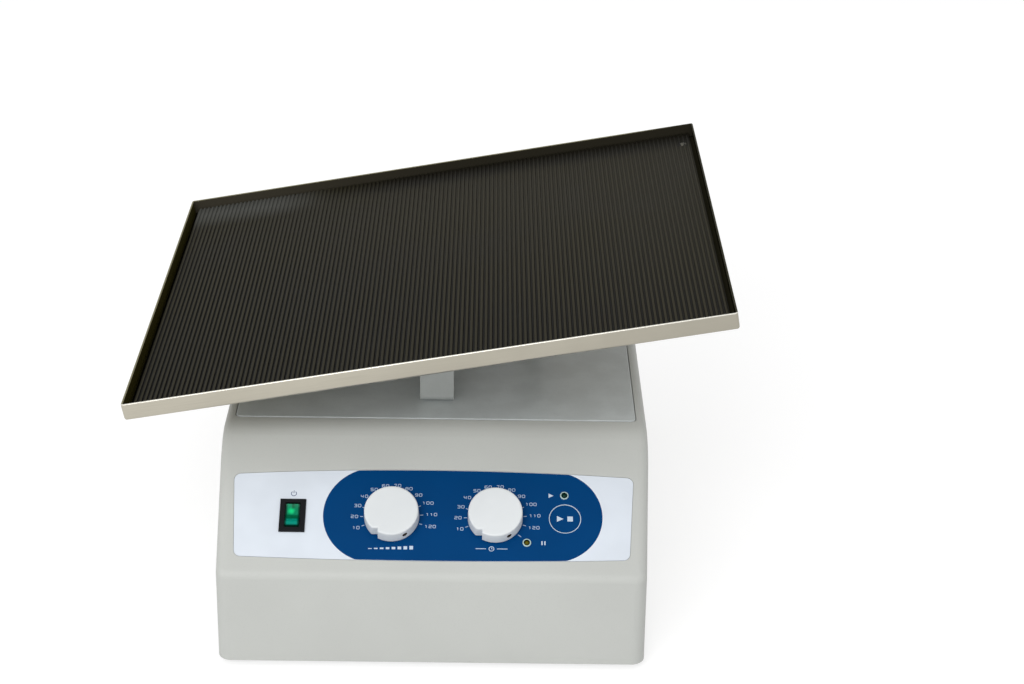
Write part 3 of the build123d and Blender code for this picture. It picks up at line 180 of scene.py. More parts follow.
class Finish(Graph):
    """A material under way, with its principled shader. Patterns read the piece's own millimetres."""

    def __init__(self, name, place=BENCH, **fixed):
        self.material = bpy.data.materials.new(name)
        self.material.use_nodes = True
        super().__init__(self.material.node_tree)
        self.tree.nodes.clear()
        self.shader = self.tree.nodes.new("ShaderNodeBsdfPrincipled")
        self.output = self.tree.nodes.new("ShaderNodeOutputMaterial")
        self.tree.links.new(self.shader.outputs[0], self.output.inputs[0])
        for word, value in fixed.items():
            socket = word.replace("_", " ").title().replace("Ior", "IOR")
            self.shader.inputs[socket].default_value = value
        inverse = place.inverted()
        self.place = self.node(
            "ShaderNodeMapping",
            {},
            {
                "Vector": self.node("ShaderNodeTexCoord", {}, {}, "Object"),
                "Location": inverse.to_translation(),
                "Rotation": inverse.to_euler(),
                "Scale": inverse.to_scale(),
            },
        )
        axes = self.node("ShaderNodeSeparateXYZ", {}, {"Vector": self.place}, None)
        self.x, self.y, self.z = (Wire(self, axes.outputs[i]) for i in range(3))

    def noise(self, size, detail=2.0, stretch=(1, 1, 1)):
        """Cloudy pattern from 0 to 1 whose lumps are about size millimetres across."""
        stretched = {0: self.place, 1: stretch}
        spot = self.node("ShaderNodeVectorMath", {"operation": "MULTIPLY"}, stretched)
        sockets = {"Vector": spot, "Scale": 1 / size, "Detail": detail}
        return self.node("ShaderNodeTexNoise", {}, sockets, "Fac")

    def cells(self, size):
        """Distance to the nearest of many scattered points about size millimetres apart."""
        sockets = {"Vector": self.place, "Scale": 1 / size}
        return self.node("ShaderNodeTexVoronoi", {}, sockets, "Distance")

    def away_from(self, point):
        """Distance in millimetres from a point of the piece."""
        ends = {0: self.place, 1: point}
        return self.node("ShaderNodeVectorMath", {"operation": "DISTANCE"}, ends, "Value")

    def ramp(self, value, low, high):
        """0 at low, 1 at high, smooth between and held beyond them; low may be the larger."""
        sockets = {"Value": value, "From Min": low, "From Max": high}
        return self.node("ShaderNodeMapRange", {"interpolation_type": "SMOOTHSTEP"}, sockets)

    def mix(self, share, first, second):
        """First colour where share is 0, second where it is 1. Colours have their own sockets."""
        first_colour, second_colour, mixed_colour = 6, 7, 2
        sockets = {0: share}
        for socket, colour in ((first_colour, first), (second_colour, second)):
            sockets[socket] = colour if isinstance(colour, Wire) else (*colour, 1)
        return self.node("ShaderNodeMix", {"data_type": "RGBA"}, sockets, mixed_colour)

    def rounded(self, radius):
        """The surface's direction as if its corners were rounded by a radius in millimetres."""
        return self.node("ShaderNodeBevel", {"samples": 4}, {"Radius": radius * MM})

    def edges(self, width):
        """1 along the corners of the piece within width millimetres, 0 on its flats."""
        flat = self.node("ShaderNodeNewGeometry", {}, {}, "Normal")
        pair = {0: self.rounded(width), 1: flat}
        alike = self.node("ShaderNodeVectorMath", {"operation": "DOT_PRODUCT"}, pair, "Value")
        nearly_flat, clearly_bent = 0.995, 0.93
        return self.ramp(alike, nearly_flat, clearly_bent)

    def bump(self, height, depth, softened=0.0):
        """Raises the surface by height times depth millimetres, over corners rounded by softened."""
        sockets = {"Height": height, "Distance": depth * MM, "Strength": 1.0}
        if softened:
            sockets["Normal"] = self.rounded(softened)
        self.feed("Normal", self.node("ShaderNodeBump", {}, sockets))

    def feed(self, socket, value):
        """Sends a wire into the principled shader."""
        self.connect(value, self.shader.inputs[socket])


def shade(red, green, blue):
    """Linear colour of a colour written as a screen's 0 to 255, by the sRGB curve."""
    return tuple(
        v / 12.92 if v <= 0.04045 else ((v + 0.055) / 1.055) ** 2.4
        for v in (red / 255, green / 255, blue / 255)
    )


def scaled(colour, by):
    """The same colour lighter or darker, kept within 1."""
    return tuple(min(1.0, channel * by) for channel in colour)


# Finishes


def moulded(name, colour, rough=0.42, grain=0.9, depth=0.03, drift=0.05, softened=0.0, gloss=0.25):
    """Moulded plastic: slow drift of tone, fine eroded grain, and a trace of dust in the grain."""
    f = Finish(name, specular_ior_level=gloss)
    drift_map = f.noise(70, 3)
    skin = f.noise(grain, 3)
    toned = f.mix(f.ramp(drift_map, 0.3, 0.7), scaled(colour, 1 - drift), scaled(colour, 1 + drift))
    f.feed("Base Color", f.mix(f.ramp(skin, 0.55, 0.75) * 0.25, toned, scaled(colour, 0.86)))
    f.feed("Roughness", rough + 0.12 * (drift_map - 0.5) + 0.08 * (skin - 0.5))
    f.bump(skin, depth, softened)
    return f.material


def brushed(name, colour, along, rough):
    """Brushed sheet metal: hair lines along one axis, brighter along its corners, faint smudges."""
    f = Finish(name, metallic=1.0)
    stretch = tuple(0.02 if axis == along else 1.0 for axis in "xyz")
    lines = f.noise(0.35, 4, stretch)
    smudge = f.noise(38, 3)
    hairs = f.mix(f.ramp(lines, 0.3, 0.7), scaled(colour, 0.86), scaled(colour, 1.08))
    f.feed("Base Color", f.mix(f.edges(0.25) * 0.55, hairs, scaled(colour, 1.3)))
    f.feed("Roughness", rough + 0.18 * (lines - 0.5) + 0.12 * (smudge - 0.5))
    f.bump(lines, 0.01, 0.2)
    return f.material


def turned(name, colour, rough=0.28, metallic=1.0):
    """Machined or plated small metal: fine all-round scratches, bright corners, dull spots."""
    f = Finish(name, metallic=metallic)
    scratches = f.noise(0.25, 4, (1, 0.12, 1))
    dull = f.noise(5, 3)
    tone = f.mix(f.ramp(dull, 0.35, 0.7), scaled(colour, 0.88), scaled(colour, 1.06))
    f.feed("Base Color", f.mix(f.edges(0.15) * 0.5, tone, scaled(colour, 1.25)))
    f.feed("Roughness", rough + 0.2 * (dull - 0.5) + 0.1 * (scratches - 0.5))
    f.bump(scratches, 0.008, 0.1)
    return f.material


def plated(name, colour):
    """Zinc-plated sheet: crystals of slightly different tone."""
    f = Finish(name, metallic=1.0)
    crystal = f.cells(6)
    haze = f.noise(25, 2)
    tone = f.mix(f.ramp(crystal, 0.2, 0.7), scaled(colour, 0.84), scaled(colour, 1.1))
    f.feed("Base Color", tone)
    f.feed("Roughness", 0.36 + 0.14 * (haze - 0.5) + 0.1 * crystal)
    f.bump(f.noise(0.8, 3), 0.01, 0.2)
    return f.material


def painted(name, colour, rough=0.4, speck=0.25, gloss=0.3):
    """Powder-coated sheet: low orange peel, sparse darker specks, paint thinned on the corners."""
    f = Finish(name, specular_ior_level=gloss)
    peel = f.noise(1.6, 2)
    specks = f.cells(2.4)
    dust = f.noise(16, 4)
    tone = f.mix(f.ramp(dust, 0.35, 0.68), scaled(colour, 0.95), scaled(colour, 1.05))
    dotted = f.mix(f.ramp(specks, 0.22, 0.1) * speck, tone, scaled(colour, 0.6))
    f.feed("Base Color", f.mix(f.edges(0.3) * 0.35, dotted, scaled(colour, 1.25)))
    f.feed("Roughness", rough + 0.16 * (dust - 0.5))
    f.bump(peel, 0.03, 0.3)
    return f.material


def rubber(name, colour):
    """Black rubber: fine matt grain, pale dust, a little bloom."""
    f = Finish(name, specular_ior_level=0.15)
    dust = f.noise(22, 4)
    grain = f.noise(0.5, 3)
    f.feed("Base Color", f.mix(f.ramp(dust, 0.4, 0.75) * 0.5, colour, scaled(colour, 1.5)))
    f.feed("Roughness", 0.6 + 0.14 * (dust - 0.5) + 0.08 * (grain - 0.5))
    f.bump(grain, 0.02)
    return f.material


def printed(name, colour):
    """Screen-printed ink on film: even, with faint pinholes and a soft gloss."""
    f = Finish(name, PANEL, specular_ior_level=0.04)
    weave = f.noise(0.4, 2)
    drift = f.noise(30, 2)
    f.feed("Base Color", f.mix(f.ramp(drift, 0.3, 0.7), scaled(colour, 0.97), scaled(colour, 1.03)))
    f.feed("Roughness", 0.4 + 0.08 * (drift - 0.5) + 0.05 * (weave - 0.5))
    f.bump(weave, 0.004)
    return f.material


def lens(name, colour, chip):
    """Tinted lamp lens: deep colour, paler near the chip behind its middle."""
    f = Finish(name, specular_ior_level=0.08, coat_weight=0.04, coat_roughness=0.08)
    glow = f.ramp(f.away_from(chip), 1.6, 0.0)
    swirl = f.noise(0.7, 2)
    f.feed("Base Color", f.mix(glow * 0.4, colour, scaled(colour, 1.8)))
    f.feed("Roughness", 0.14 + 0.08 * swirl)
    f.bump(swirl, 0.006)
    return f.material


def banded(name, colour, along, pitch, rough=0.5, metallic=0.0, contrast=0.3):
    """Stacked or wound layers: thin bands of light and dark, each a pitch apart."""
    f = Finish(name, metallic=metallic)
    position = {"x": f.x, "y": f.y, "z": f.z}[along] / pitch
    wave = (position * (2 * pi)).sine() * 0.5 + 0.5
    haze = f.noise(8, 3)
    f.feed("Base Color", f.mix(wave, scaled(colour, 1 - contrast), scaled(colour, 1 + contrast)))
    f.feed("Roughness", rough + 0.2 * (haze - 0.5))
    f.bump(wave, 0.4 * pitch)
    return f.material


def etched_board(name, colour):
    """Circuit board: copper tracks under green lacquer, solder dots on a grid."""
    f = Finish(name, coat_weight=0.3)
    checks = f.node(
        "ShaderNodeTexBrick",
        {"offset": 0.37, "squash": 1.0},
        {"Vector": f.place, "Scale": 0.22, "Mortar Size": 0.11, "Color1": (0, 0, 0, 1),
         "Color2": (0, 0, 0, 1), "Mortar": (1, 1, 1, 1)},
        "Fac",
    )
    dots = f.cells(2.54)
    tracks = f.mix(checks, colour, scaled(colour, 1.9))
    f.feed("Base Color", f.mix(f.ramp(dots, 0.16, 0.1), tracks, (0.6, 0.6, 0.58)))
    f.feed("Roughness", 0.32 + 0.2 * f.noise(12, 2))
    f.bump(checks, 0.05)
    return f.material


# Mesh making


def grid_faces(rows, columns, ring_rows, ring_columns):
    """Quads of a grid of points, wrapped round along a direction that closes on itself."""
    row, column = np.meshgrid(
        np.arange(rows - (not ring_rows)), np.arange(columns - (not ring_columns)), indexing="ij"
    )
    next_row, next_column = (row + 1) % rows, (column + 1) % columns
    corners = (
        row * columns + column,
        row * columns + next_column,
        next_row * columns + next_column,
        next_row * columns + column,
    )
    return np.stack(corners, -1).reshape(-1, 4)


def finish_piece(name, mesh, body, material, slot, crease=radians(35), stands_for=()):
    """Makes the object of a mesh: shaded smooth up to its creases, riding on its body."""
    mesh.shade_smooth()
    mesh.set_sharp_from_angle(angle=crease)
    mesh.materials.clear()
    mesh.materials.append(material)
    piece = bpy.data.objects.new(name, mesh)
    scene.collection.objects.link(piece)
    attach(piece, body)
    if stands_for:
        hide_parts(*stands_for)


MERGED, SLIVER = 0.002 * MM, 0.001 * MM


def surface(name, grids, place, body, material, slot, rings=(False, True), **finishing):
    """Makes a piece from grids of points in its own millimetres: poles and seams are merged."""
    points, faces, start = [], [], 0
    for grid in grids:
        rows, columns = grid.shape[:2]
        points.append(grid.reshape(-1, 3))
        faces.append(grid_faces(rows, columns, *rings) + start)
        start += rows * columns
    placed = np.vstack(points) @ np.array(place.to_3x3()).T + np.array(place.translation)
    mesh = bpy.data.meshes.new(name)
    mesh.from_pydata(placed, [], np.vstack(faces).tolist())
    work = bmesh.new()
    work.from_mesh(mesh)
    bmesh.ops.remove_doubles(work, verts=work.verts, dist=MERGED)
    bmesh.ops.dissolve_degenerate(work, edges=work.edges, dist=SLIVER)
    bmesh.ops.recalc_face_normals(work, faces=work.faces)
    work.to_mesh(mesh)
    work.free()
    finish_piece(name, mesh, body, material, slot, **finishing)


def arc(centre, radius, start, end, count):
    """Points on part of a circle, angles in degrees."""
    turn = np.radians(np.linspace(start, end, count))
    return np.stack([centre[0] + radius * np.cos(turn), centre[1] + radius * np.sin(turn)], -1)


def rounded_rectangle(length, depth, radius, per_corner=6):
    """Outline of a rectangle with round corners, and the outward direction at each of its points."""
    quarters = [np.linspace(90 * q, 90 * q + 90, per_corner) for q in range(4)]
    turn = np.radians(np.concatenate(quarters))
    corner_x = np.repeat([1, -1, -1, 1], per_corner) * (length / 2 - radius)
    corner_y = np.repeat([1, 1, -1, -1], per_corner) * (depth / 2 - radius)
    outward = np.stack([np.cos(turn), np.sin(turn)], -1)
    return np.stack([corner_x, corner_y], -1), outward


def turned_profile(profile, spots, sides=32, recess=None):
    """Profile of radius and height spun round its axis at each spot; recess lowers chosen points."""
    angle = np.linspace(0, 2 * pi, sides, endpoint=False)
    radius = profile[:, :1] * np.ones(sides)
    height = profile[:, 1:] * np.ones(sides)
    x, y = radius * np.cos(angle), radius * np.sin(angle)
    if recess is not None:
        height = height - recess(x, y, height)
    return [np.stack([x + u, y + v, height + w], -1) for u, v, w in spots]


# Tray and mat


def pan_profile():
    """Inset and height round the tray: under, up the outer face, over the rim, down to the floor."""
    bend, edge, crook, flat = 1.8, 0.45, 0.6, 12.0
    return np.vstack([
        [(flat, TRAY_UNDER)],
        arc((bend, TRAY_UNDER + bend), bend, 270, 180, 6),
        arc((edge, TRAY_RIM - edge), edge, 180, 90, 5),
        arc((TRAY_SHEET - edge, TRAY_RIM - edge), edge, 90, 0, 5),
        arc((TRAY_SHEET + crook, MAT_UNDER + crook), crook, 180, 270, 4),
        [(flat, MAT_UNDER)],
    ])


def pan_grid():
    """Profile carried round the rounded rectangle, then both flats drawn in to their middles."""
    corners, outward = rounded_rectangle(TRAY_LENGTH, TRAY_DEPTH, TRAY_CORNER)
    least = 0.05
    rows = []
    for inset, height in pan_profile():
        radius = max(TRAY_CORNER - inset, least)
        moved_in = max(inset - TRAY_CORNER + least, 0.0)
        drawn = corners - np.sign(corners) * moved_in + outward * radius
        rows.append(np.column_stack([drawn, np.full(len(drawn), height)]))
    grid = np.stack(rows)
    first = np.stack([grid[0] * (share, share, 1) for share in (0.0, 0.5)])
    last = np.stack([grid[-1] * (share, share, 1) for share in (0.5, 0.0)])
    return np.concatenate([first, grid, last])


def mat_grid():
    """Rib section across the mat, carried front to back, with its ends turned down and closed."""
    left = -RIB_PITCH * RIB_COUNT / 2
    steps = np.arange(RIB_COUNT)[:, None] * RIB_PITCH + left
    across = (steps + RIB_SECTION[:, 0]).ravel()
    height = np.tile(RIB_SECTION[:, 1], RIB_COUNT) + MAT_TOP
    across = np.concatenate([[left], across, [-left, -left]])
    height = np.concatenate([[MAT_UNDER], height, [MAT_TOP - RIB_DEPTH, MAT_UNDER]])
    from_end, drop = MAT_END.T
    stations = np.concatenate([from_end - MAT_DEPTH / 2, (MAT_DEPTH / 2 - from_end)[::-1]])
    drop = np.concatenate([drop, drop[::-1]])
    y = stations[:, None] * np.ones(len(across))
    x = across * np.ones((len(stations), 1))
    over = np.stack([x, y, np.maximum(height - drop[:, None], MAT_UNDER)], -1)
    under = np.stack([x, y, np.full(x.shape, MAT_UNDER)], -1)
    return np.concatenate([over, under[::-1]])


def tray_sheet_metal():
    """Satin sheet with faint lines and smudges, and painted shade darkening it to the right: a painted
    highlight on the front rim, painted shade on the other rims; inside the lips smooth painted shade and
    reflection, paler along the back, and painted shadow on the floor of the gap round the mat, paler at
    its right end."""
    f = Finish("tray_satin_metal", TRAY, specular_ior_level=0.0)
    lines = f.noise(0.6, 4, (0.02, 1, 1))
    smudge = f.noise(45, 3)
    colour = shade(182, 177, 163)
    within = (
        (abs(f.x) < TRAY_LENGTH / 2 - 0.7) * (abs(f.y) < TRAY_DEPTH / 2 - 0.7)
        * (f.z > TRAY_UNDER + 0.6) * (f.z < TRAY_RIM - 0.25)
    )
    # Floor of the gap round the mat, which takes painted shadow.
    shaded_gap_floor = within * (f.z < MAT_UNDER + 0.4)
    # Painted shade darkens the sheet towards its right end; the smudges add blotches of tone.
    painted_shade_and_smudge = f.ramp(f.x, -150.0, 170.0) * 0.75 + f.ramp(smudge, 0.35, 0.65) * 0.25
    toned = f.mix(painted_shade_and_smudge, scaled(colour, 1.05), scaled(colour, 0.82))
    lined = f.mix(f.ramp(lines, 0.4, 0.75) * 0.35, toned, scaled(colour, 0.84))
    # Painted highlight: the front rim is made bright as if lit; the lighter corners are wear.
    rim = f.ramp(f.z, TRAY_RIM - 0.6, TRAY_RIM - 0.2)
    front = f.y < 1.5 - TRAY_DEPTH / 2
    worn = f.mix(f.edges(0.3) * 0.3 + front * rim * 0.6, lined, shade(236, 234, 226))
    # Painted shade on the rims other than the front one, darkest at the right end, with most of their
    # metal sheen taken away.
    painted_rim_shade = f.mix(f.ramp(f.x, 120.0, 172.0), shade(128, 124, 98), shade(38, 36, 18))
    shaded_rims = rim * (1 - front)
    with_rims_shaded = f.mix(shaded_rims * 0.98, worn, painted_rim_shade)
    # Painted shade and reflection inside the lips: dark olive walls going black towards the right, the
    # back wall paler towards the left.
    rightward = f.ramp(f.x, -170.0, 40.0)
    painted_inner_shade = f.mix(rightward, shade(52, 48, 20), shade(26, 24, 16))
    back_wall_painted_reflection = f.mix(rightward, shade(70, 66, 56), shade(50, 47, 38))
    inner = f.mix(f.ramp(f.y, 148.0, 150.0), painted_inner_shade, back_wall_painted_reflection)
    walled = f.mix(within, with_rims_shaded, inner)
    # Painted shadow on the floor of the gap round the mat: black, paler at the right end.
    paler_right_end = f.ramp(f.x, 100.0, 150.0) * f.ramp(f.y, 151.0, 149.0)
    f.feed("Base Color", f.mix(shaded_gap_floor, walled, f.mix(paler_right_end, shade(8, 8, 6), shade(40, 38, 27))))
    f.feed("Metallic", (1 - 0.75 * within - 0.25 * shaded_gap_floor) * (1 - 0.7 * shaded_rims))
    f.feed("Roughness", (0.34 + 0.12 * (lines - 0.5) + 0.12 * (smudge - 0.5)) * (1 - 0.72 * within))
    f.bump(lines, 0.006, 0.2)
    return f.material


def mat_rubber():
    """Ribbed rubber: greyer crests, painted shade in the grooves and on their black walls, fading far
    back;
    a painted reflection paler along the back left, painted shade darker along the back right, and
    painted shade of the hole as a dark ring round the screw."""
    f = Finish("mat_black_rubber", TRAY, specular_ior_level=0.06)
    dust = f.noise(60, 4)
    grain = f.noise(0.5, 3)
    crest = f.mix(f.ramp(dust, 0.35, 0.7), shade(37, 34, 21), shade(44, 41, 27))
    # Painted shade in the grooves and on their walls, deepest at the front left and fading towards the
    # back right.
    groove_shade_fading = f.ramp(0.35 * f.x + 0.65 * f.y, -70.0, 110.0)
    floor = f.mix(groove_shade_fading, shade(5, 5, 3), shade(42, 39, 27))
    walls = f.mix(groove_shade_fading, shade(6, 6, 4), shade(16, 14, 10))
    lower = f.mix(f.ramp(f.z, MAT_TOP - 0.74, MAT_TOP - 0.66), floor, walls)
    ribbed = f.mix(f.ramp(f.z, MAT_TOP - 0.2, MAT_TOP - 0.06), lower, crest)
    # Along the back edge: a painted reflection of the back wall, paler at the left, and painted shade,
    # darker at the right.
    painted_reflection_back_left = f.ramp(f.y, 108.0, 138.0) * f.ramp(f.x, -70.0, -125.0)
    painted_shade_back_right = f.ramp(f.y, 118.0, 138.0) * f.ramp(f.x, -110.0, -20.0)
    paler = f.mix(painted_reflection_back_left * 0.7, ribbed, shade(84, 85, 82))
    darker = f.mix(painted_shade_back_right * 0.75, paler, shade(12, 11, 8))
    # Painted shade of the hole in the mat: a dark ring round the screw.
    screw_hole_shade = f.ramp(f.away_from((*MAT_SCREW, MAT_TOP)), 3.9, 3.3)
    f.feed("Base Color", f.mix(screw_hole_shade, darker, shade(5, 5, 5)))
    f.feed("Roughness", 0.5 + 0.14 * (dust - 0.5) + 0.08 * (grain - 0.5))
    f.bump(grain, 0.02)
    return f.material


def stud_profile():
    """Radius and height down a welded stud: its thread rises and falls once each pitch."""
    thread, chamfer, sunk = 0.12, 0.4, 0.4
    depth = np.arange(0, STUD_LENGTH - 0.3, THREAD_PITCH / 2)
    radius = STUD_RADIUS - thread + thread * (np.arange(len(depth)) % 2)
    root, under = TRAY_UNDER + sunk, TRAY_UNDER - STUD_LENGTH
    return np.vstack([
        [(0.0, root), (STUD_RADIUS, root)],
        np.column_stack([radius, TRAY_UNDER - depth]),
        [(STUD_RADIUS - chamfer, under), (0.0, under)],
    ])


studs = turned_profile(stud_profile(), [(x, y, 0.0) for x, y in STUDS], 24)
surface("tray_pan", [pan_grid(), *studs], TRAY, "platform", tray_sheet_metal(), "tray_sheet",
        stands_for=("tray",))
surface("mat_ribbed", [mat_grid()], TRAY, "platform", mat_rubber(), "mat_rubber",
        rings=(True, False), crease=radians(50), stands_for=("rubber_mat",))


def foot_profile():
    """Radius and height of a foot from its top down, round its rolled edge and up into the well."""
    bore, well, top_radius, foot_radius = 1.7, 3.8, 11.0, 9.75
    outer_roll, inner_roll = 0.8, 0.7
    return np.vstack([
        [(bore, FOOT_HEIGHT), (top_radius, FOOT_HEIGHT), (top_radius - 0.1, FOOT_HEIGHT - 0.4)],
        [(foot_radius, 0.9)],
        arc((foot_radius - outer_roll, outer_roll), outer_roll, 0, -90, 5),
        arc((well + inner_roll, inner_roll), inner_roll, 270, 180, 4),
        [(well, FOOT_WELL), (bore, FOOT_WELL), (bore, FOOT_HEIGHT)],
    ])


feet = turned_profile(foot_profile(), [(x, y, 0.0) for x, y in FEET], 40)
surface("feet_turned", feet, BENCH, "base", rubber("foot_rubber", shade(38, 38, 38)), "foot_rubber",
        stands_for=("rubber_feet",))

# Screws with a cross recess


def cross_recess(width, reach, depth):
    """Makes the rule for how far a head is sunk at x, y: a plus sign with sloping ends."""
    def sunk(x, y, height):
        along, across = np.maximum(abs(x), abs(y)), np.minimum(abs(x), abs(y))
        inside = (across < width / 2) & (along < reach)
        return np.where(inside & (height > 0), depth * (1.15 - along / reach), 0.0)
    return sunk


def screws(spots, size, length):
    """Grids of pan-head screws: a low dome with a cross recess over a thin shank."""
    head, rise, shank = size
    dome = [(head * sin(a), rise * (0.45 + 0.55 * cos(a))) for a in np.linspace(0.02, pi / 2, 12)]
    skirt = [(head, 0.12 * rise), (head - 0.15, 0.0), (shank, 0.0)]
    point = [(shank, -length + 0.4), (shank - 0.4, -length), (0.0, -length)]
    profile = np.array([(0.0, rise), *dome, *skirt, *point])
    recess = cross_recess(width=0.34 * head, reach=0.62 * head, depth=0.5 * rise)
    return turned_profile(profile, spots, 40, recess)


# Radius and height of the head, radius of the shank
SMALL, MIDDLE, LARGE = (2.8, 1.6, 1.5), (3.2, 1.8, 1.6), (3.6, 2.4, 2.0)
screw_metal = turned("screw_zinc", shade(190, 190, 186))
mat_screw = screws([(*MAT_SCREW, MAT_TOP - 1.4)], SMALL, 2.6)
foot_screws = screws([(x, -y, -FOOT_WELL) for x, y in FEET], MIDDLE, 3.4)
case_screws = screws([(x, -y, -FOOT_HEIGHT) for x, y in CASE_SCREWS], MIDDLE, 14.0)
inlet_screws = screws([(-20.0, 0.0, 2.4), (20.0, 0.0, 2.4)], SMALL, 6.0)
clevis_screws = screws([(60.0, -14.5, -8.2), (60.0, 14.5, -8.2)], SMALL, 5.8)
dull_metal = turned("screw_dull_zinc", shade(92, 90, 80), 0.55, 0.6)
for node, grids, place, body, metal in (
    ("mat_screw", mat_screw, TRAY, "platform", dull_metal),
    ("base_screws", foot_screws + case_screws, BELOW, "base", screw_metal),
    ("post_screws", screws(POST_SCREWS, LARGE, 7.0), BENCH, "base", screw_metal),
    ("inlet_screws", inlet_screws, INLET, "base", screw_metal),
    ("clevis_screws", clevis_screws, UNDER_TRAY, "platform", screw_metal),
):
    surface(f"{node}_heads", grids, place, body, metal, "fasteners", stands_for=(node,))

# Prints on the label


def label_edge(x, upper):
    """Height of the label's top or bottom edge at x: an arc that bulges outward between its ends."""
    middle, bulge, half = (29.4, 3.8, 117.4) if upper else (-29.4, -2.0, 113.9)
    radius = (half**2 + bulge**2) / (2 * abs(bulge))
    return middle - np.sign(bulge) * (radius - np.sqrt(radius**2 - x**2))


def field_outline():
    """Blue field: a long shape with round ends, cut by the label's top and bottom edges."""
    left, left_reach, right, right_reach = -33.0, 31.0, 69.2, 29.5
    margin, tip = 0.12, 0.0005
    first, last = left - left_reach + tip, right + right_reach - tip
    x = (first + last) / 2 + np.cos(np.linspace(0, pi, 160)) * (last - first) / 2
    reach = np.where(x > right, right_reach, left_reach)
    off = np.maximum(np.maximum(left - x, x - right), 0)
    end = np.sqrt(np.maximum(reach**2 - off**2, 0))
    top = np.minimum(end, label_edge(x, True) - margin)
    low = np.maximum(-end, label_edge(x, False) + margin)
    return np.concatenate([np.column_stack([x, top]), np.column_stack([x, low])[::-1]])


def circle(centre, radius, count=64):
    """Points evenly round a circle."""
    turn = np.linspace(0, 2 * pi, count, endpoint=False)
    return np.column_stack([centre[0] + radius * np.cos(turn), centre[1] + radius * np.sin(turn)])


def flat_print(name, outlines, low, high, body, material):
    """Makes a thin print: closed outlines, those inside another being holes, between two heights."""
    curve = bpy.data.curves.new(name, "CURVE")
    curve.dimensions = "2D"
    curve.fill_mode = "BOTH"
    curve.extrude = (high - low) / 2
    for outline in outlines:
        spline = curve.splines.new("POLY")
        spline.points.add(len(outline) - 1)
        points = np.column_stack([outline, np.zeros((len(outline), 2))])
        spline.points.foreach_set("co", points.ravel())
        spline.use_cyclic_u = True
    shape = bpy.data.objects.new(name, curve)
    scene.collection.objects.link(shape)
    mesh = bpy.data.meshes.new_from_object(shape)
    bpy.data.objects.remove(shape)
    mesh.name = name
    mesh.transform(PANEL @ Matrix.Translation((0, 0, (low + high) / 2)))
    finish_piece(name, mesh, body, material, "label_film")


def ribbon(points, width, closed=False):
    """Outlines of a line of constant width with mitred corners."""
    points = np.asarray(points, float)
    ahead = np.roll(points, -1, 0) - points
    if not closed:
        ahead[-1] = ahead[-2]
    ahead /= np.linalg.norm(ahead, axis=1)[:, None]
    behind = np.roll(ahead, 1, 0)
    if not closed:
        behind[0] = ahead[0]
    normal = np.column_stack([-(ahead + behind)[:, 1], (ahead + behind)[:, 0]])
    normal /= np.linalg.norm(normal, axis=1)[:, None]
    mitre = 1 / np.maximum(np.sum(normal * np.column_stack([-ahead[:, 1], ahead[:, 0]]), 1), 0.5)
    side = normal * (mitre * width / 2)[:, None]
    if closed:
        return [points + side, (points - side)[::-1]]
    return [np.concatenate([points + side, (points - side)[::-1]])]


def cut_corners(points, cut, closed):
    """The same line with each corner replaced by two points, cut to either side of it."""
    points = [np.array(p, float) for p in points]
    kept = [] if closed else [points[0]]
    for index in range(0 if closed else 1, len(points) - (0 if closed else 1)):
        corner = points[index]
        for other in (points[index - 1], points[(index + 1) % len(points)]):
            away = other - corner
            kept.append(corner + away * min(0.45, cut / np.linalg.norm(away)))
    return kept if closed else [*kept, points[-1]]


# Each numeral's strokes on a cell one wide and one high; True closes a stroke, and none overlap
NUMERALS = {
    "0": [([(0, 0), (1, 0), (1, 1), (0, 1)], True)],
    "1": [([(0.2, 0.76), (0.55, 1), (0.55, 0)], False)],
    "2": [([(0, 1), (1, 1), (1, 0.52), (0, 0.48), (0, 0), (1, 0)], False)],
    "3": [([(0, 1), (1, 1), (1, 0), (0, 0)], False), ([(0.3, 0.5), (0.88, 0.5)], False)],
    "4": [([(0, 1), (0, 0.36), (0.68, 0.36)], False), ([(0.8, 1), (0.8, 0)], False)],
    "5": [([(1, 1), (0, 1), (0, 0.54), (1, 0.52), (1, 0), (0, 0)], False)],
    "6": [([(1, 1), (0, 1), (0, 0), (1, 0), (1, 0.54), (0.12, 0.54)], False)],
    "7": [([(0, 1), (1, 1), (0.4, 0)], False)],
    "8": [([(0, 0), (1, 0), (1, 1), (0, 1)], True), ([(0.12, 0.52), (0.88, 0.52)], False)],
    "9": [([(0, 0), (1, 0), (1, 1), (0, 1), (0, 0.46), (0.88, 0.46)], False)],
}
DIGIT_WIDTH, DIGIT_HEIGHT, DIGIT_STEP = 1.55, 1.75, 2.35
STROKE, CORNER_CUT = 0.36, 0.3


def number_outlines(text, centre):
    """Outlines of a number's strokes, centred on a point."""
    outlines = []
    start = centre[0] - (DIGIT_STEP * (len(text) - 1) + DIGIT_WIDTH) / 2
    for place, digit in enumerate(text):
        corner = np.array([start + place * DIGIT_STEP, centre[1] - DIGIT_HEIGHT / 2])
        for stroke, closed in NUMERALS[digit]:
            line = corner + np.array(stroke) * (DIGIT_WIDTH, DIGIT_HEIGHT)
            outlines += ribbon(cut_corners(line, CORNER_CUT, closed), STROKE, closed)
    return outlines


PRINT_LOW, PRINT_HIGH, INK_HIGH = 0.005, 0.03, 0.06     # heights above the label
DIAL_RADIUS, DIAL_FIRST, DIAL_STEP = 21.7, -109.0, 19.4  # of the numbers, in millimetres and degrees
TICK_INNER, TICK_OUTER, LINE = 16.5, 18.3, 0.4
END_TICK = (128, 16.9, 19.2)            # degrees and both radii of the time dial's extra line
SHAFT_HOLE, LAMP_HOLE = 3.95, 2.15
film_blue = printed("label_blue_ink", shade(0, 62, 116))
film_pale = printed("label_pale_ink", shade(198, 212, 228))
film_figures = printed("label_figure_ink", shade(172, 188, 210))
film_dark = printed("label_slate_ink", shade(70, 86, 124))


